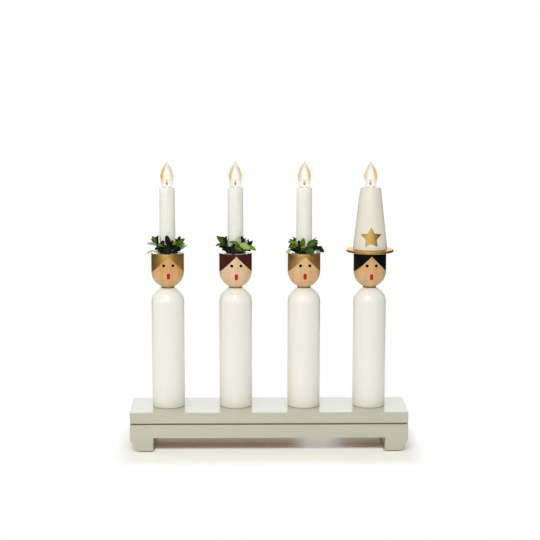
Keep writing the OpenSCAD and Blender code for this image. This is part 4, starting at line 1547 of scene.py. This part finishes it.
@dataclass(frozen=True)
class LeafRow:
    """Where one leaf grows, with the same values as in the part's source.

    The leaf starts at the angle seat, out and up by shares of the ring's radius. Yaw, rise and
    twist turn it in degrees, and length and width are shares of the usual leaf.
    """

    seat: float
    out: float
    up: float
    yaw: float
    rise: float
    twist: float
    length: float
    width: float
    tone: LeafTone


FRONT_LEAVES: tuple[tuple[tuple[float | str, ...], ...], ...] = (
    (
        (-83, 0.11, 0.76, -137, 77, 31, 1.08, 0.88, "DEEP"),
        (-117, 0.35, 0.72, 9, 66, 54, 0.64, 0.74, "DEEP"),
        (-127, 0.75, 0.88, -13, -10, 17, 0.76, 0.74, "FRESH"),
        (-124, 0.5, 0.54, -29, -30, 49, 0.89, 0.79, "DEEP"),
        (-80, 0.32, 0.85, -100, -55, 7, 0.93, 1.04, "DEEP"),
        (-67, 0.25, 0.72, -22, 79, -33, 0.61, 0.74, "DEEP"),
        (-56, 0.27, 0.64, 0, 66, -47, 0.61, 0.74, "YOUNG"),
        (-39, 0.22, 0.66, -6, 42, 69, 1.16, 0.84, "MID"),
        (-18, 0.26, 0.82, 25, 76, 40, 0.84, 0.74, "DEEP"),
        (-24, 0.55, 0.21, -4, 36, 26, 0.84, 0.74, "WAXY"),
        (-150, 0.24, 0.72, -175, 12, -27, 1.02, 0.74, "WAXY"),
        (-169, 0.5, 0.11, -177, -23, -14, 0.8, 0.74, "PALE"),
        (-120, 0.5, 0.18, -165, -4, -33, 0.63, 0.74, "PALE"),
        (-160, 0.39, 1.08, 167, 59, -29, 0.69, 0.74, "FRESH"),
        (-173, 0.22, 0.78, 123, 79, 14, 0.8, 0.74, "DEEP"),
        (-155, 0.13, 0.61, 75, 83, -32, 1.12, 0.74, "DEEP"),
        (172, 0.37, 0.87, 174, 47, -25, 0.61, 0.74, "MID"),
        (-66, 0.37, 0.56, -17, 3, 50, 0.57, 0.74, "DEEP"),
        (-64, 0.49, 0.19, -24, -10, 30, 0.53, 0.74, "DEEP"),
        (4, 0.06, 0.75, 57, 65, 80, 0.55, 0.74, "MID"),
        (-104, 0.39, 0.58, -164, -28, -38, 0.67, 0.74, "DEEP"),
    ),
    (
        (-154, 0.33, 0.84, -174, 48, -71, 1.14, 0.81, "MID"),
        (-153, 0.06, 1.08, 172, 40, -55, 0.81, 0.74, "DEEP"),
        (-147, 0.33, 0.81, -172, -3, -24, 0.94, 0.74, "MID"),
        (-138, 0.29, 0.67, -168, -3, -25, 0.78, 0.74, "DEEP"),
        (-160, 0.1, 0.87, 51, 86, -8, 0.79, 0.74, "DEEP"),
        (-74, 0.3, 0.94, -170, 14, -39, 0.97, 0.74, "FRESH"),
        (-75, 0.2, 0.86, -30, 84, -43, 0.85, 0.87, "PALE"),
        (-54, 0.37, 0.99, 180, 79, 55, 0.78, 0.74, "DEEP"),
        (-48, 0.22, 0.9, 0, 33, 48, 0.58, 0.74, "WAXY"),
        (-68, 0.29, 0.97, -10, -24, 60, 1.07, 0.99, "SOFT"),
        (-37, 0.67, 0.75, -6, -27, 56, 0.9, 0.74, "YOUNG"),
        (-110, 0.43, 0.75, -65, -51, 9, 0.94, 1.08, "DEEP"),
        (-96, 0.4, 0.75, -12, -30, 59, 0.94, 0.75, "MID"),
        (-50, 0.51, 0.3, -11, -5, 21, 0.66, 0.74, "DEEP"),
        (-15, 0.46, 0.65, 82, 75, -47, 0.67, 0.74, "DEEP"),
        (-9, 0.6, 0.4, 16, 67, 17, 0.78, 0.74, "DEEP"),
        (-55, 0.59, 0.29, -161, -18, -28, 0.53, 0.74, "DEEP"),
        (-127, 0.32, 0.48, -156, -61, -18, 0.43, 0.74, "DEEP"),
        (7, 0.2, 0.73, 139, 61, 2, 0.52, 0.74, "MID"),
    ),
    (
        (-153, 0.07, 0.82, -176, 28, -37, 0.75, 0.74, "YOUNG"),
        (-144, 0.23, 0.81, -169, -19, -60, 0.7, 0.95, "MID"),
        (-147, 0.22, 0.81, 0, 77, 33, 0.44, 0.74, "YOUNG"),
        (-118, 0.19, 0.7, 180, 80, 47, 0.59, 0.74, "DEEP"),
        (-101, 0.18, 0.55, -37, 82, -36, 0.95, 0.81, "FRESH"),
        (-73, 0.1, 0.7, -2, 30, 66, 1.15, 1.06, "MID"),
        (-84, 0.35, 0.58, -162, 8, -28, 0.53, 0.74, "YOUNG"),
        (-156, 0.55, 0.27, -171, -32, -33, 0.61, 0.74, "PALE"),
        (-108, 0.31, 0.51, -167, 0, -44, 0.56, 0.74, "DEEP"),
        (-122, 0.48, 0.45, -48, -48, 28, 0.59, 0.75, "DEEP"),
        (-94, 0.35, 0.55, -30, -38, 45, 0.74, 0.79, "MID"),
        (-70, 0.38, 0.57, -50, -40, 28, 0.93, 0.87, "MID"),
        (-28, 0.06, 0.61, -23, 80, -18, 0.52, 0.74, "DEEP"),
        (-37, 0.5, 0.73, -20, -47, 22, 0.53, 0.74, "DEEP"),
        (-25, 0.59, 0.47, -7, -30, 58, 0.76, 0.74, "DEEP"),
        (-44, 0.66, 0.27, -13, -27, 21, 0.6, 0.74, "WAXY"),
        (-23, 0.48, 0.51, -15, -19, 14, 0.34, 0.74, "YOUNG"),
        (-88, 0.44, 0.29, -127, -27, -3, 0.54, 0.74, "DEEP"),
        (-127, 0.32, 0.81, -168, -30, -39, 0.45, 0.74, "MID"),
        (-51, 0.55, 0.83, -111, -70, 16, 0.39, 0.74, "DEEP"),
        (177, 0.06, 0.92, 135, 65, 6, 0.41, 0.74, "MID"),
    ),
)


@dataclass
class Wreath:
    """Wire ring with stalked leaves, set one by one round its front and scattered round its back."""

    finishes: Finishes
    levels: Levels
    ring_r: float = 0.0104
    wire_r: float = 0.0008
    lay_gap: float = 0.0003
    leaf_l: float = 0.012
    leaf_w: float = 0.0074
    fullness: float = 0.54
    leaf_t: float = 0.0003
    arch: float = 0.06
    fold: float = 0.082
    back_leaves: int = 12
    back_out: tuple[float, float, float] = (0.55, 0.3, 0.12)
    back_up: tuple[float, float, float] = (0.14, 0.36, 0.55)
    back_rise: tuple[float, float, float] = (8.0, 24.0, 38.0)
    inner_leaves: int = 14
    stations: int = 9
    inner_fold: float = 0.42
    wave: float = 0.006
    wave_rate: float = 9.4
    stalk_r: tuple[float, float] = (0.00045, 0.0003)
    stalk_overlap: float = 0.0006

    @staticmethod
    def jitter(k: float, salt: float) -> float:
        """A repeatable value from -1 to 1, the same as in the part's source."""
        inner = math.sin(math.radians(k * 127.1 + salt * 311.7)) * 43.7
        return math.sin(math.radians(360 * inner))

    def back_row(self, i: int, k: int) -> LeafRow:
        """Leaf k round the back of wreath i.

        Args:
            i: Number of the wreath from zero.
            k: Number of the leaf from zero.

        Returns:
            The leaf's row.
        """
        number = k + 60 * i + 100
        tier = k % 3
        seat = 30 + 120 * (k + 0.5) / self.back_leaves + 5 * self.jitter(number, 1)
        draw = self.jitter(number, 9) - 1.5 * max(0.0, abs(seat - 90) / 40 - 1)
        tone = LeafTone.YOUNG if draw > 0.7 else LeafTone.MID if draw > -0.1 else LeafTone.DEEP
        return LeafRow(
            seat,
            self.back_out[tier],
            self.back_up[tier],
            seat + 26 * self.jitter(number, 2),
            self.back_rise[tier] + 8 * self.jitter(number, 3),
            48 * self.jitter(number, 6),
            0.95 + 0.12 * self.jitter(number, 4) - 0.25 * max(0.0, abs(seat - 90) / 35 - 1),
            0.86 + 0.1 * self.jitter(number, 5),
            tone,
        )

    def inner_row(self, i: int, k: int) -> LeafRow:
        """Small dark leaf k that fills the inside of wreath i, behind its front leaves.

        Args:
            i: Number of the wreath from zero.
            k: Number of the leaf from zero.

        Returns:
            The leaf's row.
        """
        number = k + 40 * i + 700
        low = k % 2 == 0
        seat = -172 + 164 * (k + 0.5) / self.inner_leaves + 4 * self.jitter(number, 1)
        return LeafRow(
            seat,
            0.12 if low else 0.2,
            0.2 if low else 0.42,
            seat + 70 * self.jitter(number, 2),
            (24 if low else 46) + 10 * self.jitter(number, 3),
            46 * self.jitter(number, 6),
            0.6 + 0.1 * self.jitter(number, 4),
            0.84 + 0.1 * self.jitter(number, 5),
            LeafTone.DEEP,
        )

    def half_at(self, t: float) -> float:
        """Half the blade's width at station t, as a share of its whole width."""
        share = min(max(t, 0.02), 0.985)
        return 0.5 * max(math.sin(math.pi * share**0.85), 0.0) ** self.fullness

    def blade(self) -> bpy.types.Object:
        """Models one leaf along +X from a flat grid: narrowed, folded along its rib and arched.

        Returns:
            The leaf, of length one.
        """
        pick_nothing()
        bpy.ops.mesh.primitive_grid_add(x_subdivisions=self.stations, y_subdivisions=4, size=1, location=(0.5, 0, 0))
        leaf = bpy.context.object
        leaf.name = "leaf"
        settle(leaf)
        bpy.ops.object.mode_set(mode="EDIT")
        for k in range(self.stations + 1):
            t = k / self.stations
            half = self.half_at(t)
            mark(leaf, lambda m, a=t: abs(m.x - a) < 1e-4)
            bpy.ops.transform.resize(value=(1, 2 * half, 1), center_override=(t, 0, 0))
            bpy.ops.transform.translate(value=(0, 0, self.arch * 4 * t * (1 - t)))
            for column, lift in ((0.5, self.inner_fold), (1.0, 1.0)):
                side = column * half
                wave = self.wave * math.sin(self.wave_rate * t) * column
                mark(leaf, lambda m, a=t, y=side: abs(m.x - a) < 1e-4 and abs(abs(m.y) - y) < 1e-4)
                bpy.ops.transform.translate(value=(0, 0, 2 * half * self.fold * lift + wave))
        bpy.ops.object.mode_set(mode="OBJECT")
        modify(leaf, "SUBSURF", levels=1, render_levels=1)
        return leaf

    def build(self) -> None:
        """Models the three wreaths."""
        blade = self.blade()
        for i in range(len(FRONT_LEAVES)):
            self.one(i, blade)
        bpy.data.objects.remove(blade)

    def one(self, i: int, blade: bpy.types.Object) -> None:
        """Models one wreath.

        Args:
            i: Number of the wreath from zero.
            blade: The leaf that is copied.
        """
        z = self.levels.head_top + self.lay_gap + self.wire_r
        x = self.levels.axes[i]
        middle = Matrix.Translation((x, 0, z))
        pick_nothing()
        bpy.ops.mesh.primitive_torus_add(
            location=(x, 0, z),
            major_radius=self.ring_r,
            minor_radius=self.wire_r,
            major_segments=64,
            minor_segments=10,
        )
        ring = bpy.context.object
        settle(ring)
        smooth(ring, 60)
        coat(ring, self.finishes["leaf_DEEP"])
        leaves, stems = [], [ring]
        rows = [LeafRow(*values, LeafTone[tone]) for *values, tone in FRONT_LEAVES[i]]
        rows += [self.back_row(i, k) for k in range(self.back_leaves)]
        rows += [self.inner_row(i, k) for k in range(self.inner_leaves)]
        for k, row in enumerate(rows):
            around = Matrix.Rotation(math.radians(row.seat), 4, "Z")
            root = middle @ around @ Vector((self.ring_r, 0, 0))
            start = middle @ around @ Vector((self.ring_r * (1 + row.out), 0, self.ring_r * row.up))
            length, width = self.leaf_l * row.length, self.leaf_w * row.width
            one = copied(blade, f"leaf_{i}_{k}")
            one.data.transform(
                Matrix.Translation(start)
                @ Matrix.Rotation(math.radians(row.yaw), 4, "Z")
                @ Matrix.Rotation(math.radians(-row.rise), 4, "Y")
                @ Matrix.Rotation(math.radians(row.twist), 4, "X")
                @ Matrix.Diagonal((length, width, length, 1))
            )
            coat(one, self.finishes[f"leaf_{row.tone.name}"])
            leaves.append(one)
            stems.append(self.stalk(root, start, f"stalk_{i}_{k}"))
        foliage = joined(leaves, f"foliage_{i}")
        modify(foliage, "SOLIDIFY", thickness=self.leaf_t, offset=0)
        smooth(foliage, 60)
        wreath = joined([foliage] + stems, f"wreath_of_leaves_{i + 1}")
        hand_over(wreath, f"leaf_wreath_{i + 1}", "green_leaf", f"wreath_{i + 1}")

    def stalk(self, root: Vector, start: Vector, name: str) -> bpy.types.Object:
        """Models one tapered stalk.

        Args:
            root: Where it leaves the wire ring.
            start: Where its leaf starts.
            name: The stalk's name.

        Returns:
            The stalk.
        """
        way = start - root
        pick_nothing()
        thick, thin = self.stalk_r
        depth = way.length + self.stalk_overlap
        bpy.ops.mesh.primitive_cone_add(vertices=8, radius1=thick, radius2=thin, depth=depth)
        stalk = bpy.context.object
        stalk.name = name
        stalk.data.transform(
            Matrix.Translation(root + way / 2) @ way.to_track_quat("Z", "Y").to_matrix().to_4x4()
        )
        smooth(stalk, 60)
        coat(stalk, self.finishes["leaf_MID"])
        return stalk


# ---------------------------------------------------------------- hat


@dataclass
class Hat:
    """Cone hat over the last candle: a gold brim, a lacquered cone and a foil star."""

    finishes: Finishes
    levels: Levels
    bore_r: float = 0.00955
    foot_r: float = 0.0200
    top_r: float = 0.0118
    brim_r: float = 0.0272
    brim_t: float = 0.0028
    land_r: float = 0.015
    edge: float = 0.001
    soft: float = 0.0004
    sides: int = 128

    def build(self) -> None:
        """Turns the cone and the brim and dresses the star."""
        x = self.levels.axes[-1]
        soft = self.soft
        low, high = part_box("hat_cone")
        foot_z, top_z = low.z + self.edge, high.z - soft
        foot_r = self.foot_r - (self.foot_r - self.top_r) * self.edge / (high.z - low.z)
        taper = self.top_r - foot_r
        cone: Profile = [(self.bore_r, low.z), (self.foot_r - self.edge, low.z), (foot_r, foot_z)]
        cone += [(foot_r + taper * share, foot_z + (top_z - foot_z) * share) for share in QUARTERS]
        cone += arc_stations(soft, (self.top_r - soft, top_z), 5, 90, 4) + [(self.bore_r, high.z)]
        piece = turned("hat_cone_turned", cone, x, self.sides)
        coat(piece, self.finishes["cone_lacquer"])
        hand_over(piece, "hat", "white_lacquer", "hat_cone")
        low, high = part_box("hat_brim")
        plate = high.z - self.brim_t
        brim: Profile = [(self.bore_r, low.z), (self.land_r - soft / 2, low.z), (self.land_r, low.z + soft / 2)]
        brim += [(self.land_r, plate)] + arc_stations(soft, (self.brim_r - soft, plate + soft), -90, 0, 3)
        brim += arc_stations(soft, (self.brim_r - soft, high.z - soft), 0, 90, 3) + [(self.bore_r, high.z)]
        piece = turned("hat_brim_turned", brim, x, self.sides)
        coat(piece, self.finishes["gold_paint"])
        hand_over(piece, "hat", "gold_paint", "hat_brim")
        dress("hat_star", self.finishes["gold_foil"])


# ---------------------------------------------------------------- studio


@dataclass
class Studio:
    """Plain white table and backdrop, soft lamps, and the camera of the photograph."""

    lens: float = 106.75
    camera_place: tuple[float, float, float] = (-0.03072, -1.83221, 0.49163)
    camera_turn: tuple[float, float, float] = (81.154, -0.0555, -0.994)
    aim: tuple[float, float, float] = (0.0, 0.0, 0.15)
    bright_side: tuple[float, float, float] = (-0.37, -0.91, 0.2)
    window_side: tuple[float, float, float] = (-0.24, -0.97, 0.05)
    bench_half: tuple[float, float] = (0.156, 0.038)
    between_feet: float = 0.132
    # where the painted pool of light under the paper lies on the table
    paper_x: float = 0.058
    dim_light: float = 0.475
    bright_light: float = 0.92
    front_glow: float = 0.05
    room_glow: float = 1.9

    def build(self) -> None:
        """Sets the camera, the lamps, the floor and the world."""
        self.camera()
        self.lamps()
        self.floor()
        self.world()

    def camera(self) -> None:
        """Sets the camera where the photograph was taken from."""
        pick_nothing()
        bpy.ops.object.camera_add(location=self.camera_place, rotation=[math.radians(a) for a in self.camera_turn])
        camera = bpy.context.object
        camera.data.lens = self.lens
        camera.data.sensor_width = 36.0
        camera.data.sensor_fit = "HORIZONTAL"
        camera.data.clip_start = 0.01
        bpy.context.scene.camera = camera

    def softbox(
        self, place: Sequence[float], size: tuple[float, float], power: float, tone: str, mirrored: bool = True
    ) -> None:
        """Adds a soft lamp that faces the object.

        Args:
            place: Its middle.
            size: Its width and height.
            power: Its power in watts.
            tone: Its colour.
            mirrored: Whether reflections show it.
        """
        pick_nothing()
        bpy.ops.object.light_add(type="AREA", location=place)
        lamp = bpy.context.object
        lamp.data.shape = "RECTANGLE"
        lamp.data.size, lamp.data.size_y = size
        lamp.data.energy = power
        lamp.data.color = linear(tone)[:3]
        lamp.visible_camera = False
        lamp.visible_transmission = False
        lamp.visible_glossy = mirrored
        lamp.rotation_euler = (Vector(self.aim) - Vector(place)).to_track_quat("-Z", "Y").to_euler()

    def lamps(self) -> None:
        """Sets the key above the camera, a little left, and weak fills at the left and behind."""
        self.softbox((-0.2, -0.93, 1.02), (0.3, 0.26), 3.7, "FFFEFA")
        self.softbox((-1.9, -0.2, 0.9), (1.6, 1.6), 3.6, "FFFEFA", mirrored=False)
        self.softbox((0, 2.3, 0.75), (3.0, 1.0), 7.5, "F1F8FF")

    def floor(self) -> None:
        """Lays a matt white table that fades into the backdrop.

        The camera sees it white a little way from the bench, with the shadow kept beside and
        beneath the bench, where painted light lifts it: a lit strip behind the front edge, a glow
        toward the back and under the paper, and a lighter band just outside. Seen from below the
        table is clear, so that the underside shows.
        """
        pick_nothing()
        bpy.ops.mesh.primitive_plane_add(size=12, location=(0, 0, 0))
        floor = bpy.context.object
        floor.name = "white_table"
        s = Surface("white_table")
        ray = s.add("LightPath")
        grain = s.add("TexNoise", s.at, Scale=per_metre(30), Detail=2)
        matt = s.add(
            "BsdfPrincipled",
            Base_Color=linear("F6F6F3"),
            Roughness=s.add("MapRange", grain, *USUAL, 0.5, 0.6),
            Specular_IOR_Level=0.2,
        )
        lifted = s.add("BsdfDiffuse", Color=(0.965, 0.955, 0.87, 1))
        table = s.add("MixShader", ray.outputs["Is Camera Ray"], matt, lifted)
        plain = s.add("Math", ray.outputs["Is Camera Ray"], ray.outputs["Is Transmission Ray"], operation="MAXIMUM")
        glow = s.add("Math", plain, self.backdrop_glow(s), operation="MAXIMUM")
        white = s.add("Emission", Color=WHITE, Strength=glow)
        fading = s.add("MixShader", self.fade(s, ray), table, white)
        clear = s.add("BsdfTransparent")
        from_below = s.add("NewGeometry").outputs["Backfacing"]
        coat(floor, s.done(s.add("MixShader", from_below, fading, clear)))

    def backdrop_glow(self, s: Surface) -> bpy.types.Node:
        """How bright the table's far part looks in reflections: white behind, dark at the sides.

        Args:
            s: The table's material.

        Returns:
            The node that gives the brightness.
        """
        place = s.add("SeparateXYZ", s.at)
        along = s.add("Math", place.outputs[0], operation="ABSOLUTE")
        behind = s.add("MapRange", place.outputs[1], -0.7, 0.2, 0, 1)
        middle = s.add("MapRange", along, 0.15, 0.5, 1, 0)
        glow = s.add("Math", behind, middle, operation="MULTIPLY")
        return s.add("Math", glow, self.front_glow, operation="MAXIMUM")

    def fade(self, s: Surface, ray: bpy.types.Node) -> bpy.types.Node:
        """Where the table turns into plain white, and where light is painted on it round the bench.

        Args:
            s: The table's material.
            ray: Its Light Path node.

        Returns:
            The share of white, from 0 by the feet to 1 away from the bench, with painted light under and just outside
            the bench.
        """
        place = s.add("SeparateXYZ", s.at)
        depth = place.outputs[1]
        along = s.add("Math", place.outputs[0], operation="ABSOLUTE")
        across = s.add("Math", depth, operation="ABSOLUTE")
        half_x, half_y = self.bench_half
        beside = s.add("Math", s.add("Math", along, half_x, operation="SUBTRACT"), 0.0, operation="MAXIMUM")
        ahead = s.add("Math", s.add("Math", across, half_y, operation="SUBTRACT"), 0.0, operation="MAXIMUM")
        over = s.add("CombineXYZ", s.add("Math", beside, 3.0, operation="MULTIPLY"), ahead)
        clear_of = s.add("VectorMath", over, operation="LENGTH")

        # painted light under the bench: a lit strip behind its front edge, a glow rising toward the back, and a pale
        # pool under the paper on its underside
        under = s.add("MapRange", across, half_y - MM, half_y + MM, 1, 0)
        inside = s.add("MapRange", along, self.between_feet - MM, self.between_feet + MM, 1, 0)
        rising = s.add("MapRange", depth, -0.038, -0.03, 0.42, 0.6)
        painted_lit_strip = s.add("Math", rising, s.add("MapRange", depth, -0.028, -0.018, 0.6, 0), operation="MINIMUM")
        from_paper = s.add("Math", place.outputs[0], self.paper_x, operation="SUBTRACT")
        from_paper = s.add("Math", from_paper, operation="ABSOLUTE")
        paper = s.add("MapRange", from_paper, 0.01, 0.032, 0.25, 0)
        painted_rear_glow = s.add("Math", s.add("MapRange", depth, -0.005, 0.024, 0, 0.12), paper, operation="ADD")
        painted_light_under = s.add("Math", painted_lit_strip, painted_rear_glow, operation="MAXIMUM")
        painted_light_under = s.add("Math", painted_light_under, s.add("Math", under, inside, operation="MULTIPLY"), operation="MULTIPLY")

        # painted light just outside the bench, which lightens its shadow on the table in front of and behind it
        near = s.add("MapRange", clear_of, 0.0, 0.02, 0.4, 0.16)
        near = s.add("Math", near, s.add("MapRange", along, 0.14, half_x, 1, 0.05), operation="MULTIPLY")
        outside = s.add("MapRange", across, half_y - MM, half_y + MM, 0, 1)
        near = s.add("Math", near, outside, operation="MULTIPLY")
        far = s.add("MapRange", clear_of, 0.028, 0.066, 0, 1)
        far = s.add("Math", far, s.add("MapRange", beside, 0.0, 0.024, 0, 1), operation="MAXIMUM")
        seen = s.add("Math", s.add("Math", near, far, operation="MAXIMUM"), painted_light_under, operation="MAXIMUM")
        seen = s.add("Math", seen, ray.outputs["Is Camera Ray"], operation="MULTIPLY")

        away = s.add("MapRange", s.add("VectorMath", s.at, operation="LENGTH"), 0.3, 0.9, 0, 1)
        glossy, through = ray.outputs["Is Glossy Ray"], ray.outputs["Is Transmission Ray"]
        mirrored = s.add("Math", glossy, through, operation="MAXIMUM")
        return s.add("Math", seen, s.add("Math", away, mirrored, operation="MULTIPLY"), operation="MAXIMUM")

    def world(self) -> None:
        """Lights from all round, more from the front left, and shows a white backdrop.

        What looks straight at the world sees plain white. A reflection sees the white backdrop
        behind the object, a bright window in front, and a dark room beside and below it.
        """
        world = bpy.data.worlds.new("studio")
        bpy.context.scene.world = world
        world.use_nodes = True
        world.node_tree.nodes.clear()
        add = partial(add_node, world.node_tree)
        ray = add("LightPath")
        heading = add("TexCoord").outputs["Generated"]
        way = add("SeparateXYZ", heading)
        toward = add("VectorMath", heading, self.bright_side, operation="DOT_PRODUCT")
        level = add("MapRange", toward, -0.6, 0.7, self.dim_light, self.bright_light)
        facing = add("VectorMath", heading, self.window_side, operation="DOT_PRODUCT")
        window = add("MapRange", facing, 0.45, 0.92, 0.0, self.room_glow)
        sill = add("MapRange", way.outputs[2], -0.02, 0.2, 0.0, 1.0)
        bright = add("Math", window, sill, operation="MULTIPLY")
        room = add("Math", bright, self.front_glow, operation="MAXIMUM")
        aside = add("Math", add("Math", way.outputs[0], operation="ABSOLUTE"), -1.6, operation="MULTIPLY")
        ahead = add("Math", way.outputs[1], aside, operation="ADD")
        backdrop = add("MapRange", ahead, -0.1, 0.4, self.front_glow, 1.0)
        mirrored = add("Background", WHITE, add("Math", backdrop, room, operation="MAXIMUM"))
        lit = add("MixShader", ray.outputs["Is Glossy Ray"], add("Background", WHITE, level), mirrored)
        plain = add("Math", ray.outputs["Is Camera Ray"], ray.outputs["Is Transmission Ray"], operation="MAXIMUM")
        add("OutputWorld", add("MixShader", plain, lit, add("Background", WHITE, 1.0)))
        bpy.context.scene.view_settings.view_transform = "Standard"


def main() -> None:
    """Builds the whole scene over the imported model."""
    logging.basicConfig(level=logging.INFO, format="%(name)s: %(message)s")
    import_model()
    levels = Levels.read()
    finishes = Finishes(levels)
    Studio().build()
    Bench(finishes).build()
    Figure(finishes, levels).build()
    Candle(finishes, levels).build()
    Lamp(finishes, levels).build()
    Wreath(finishes, levels).build()
    Hat(finishes, levels).build()
    pick_nothing()


if __name__ == "__main__":
    main()
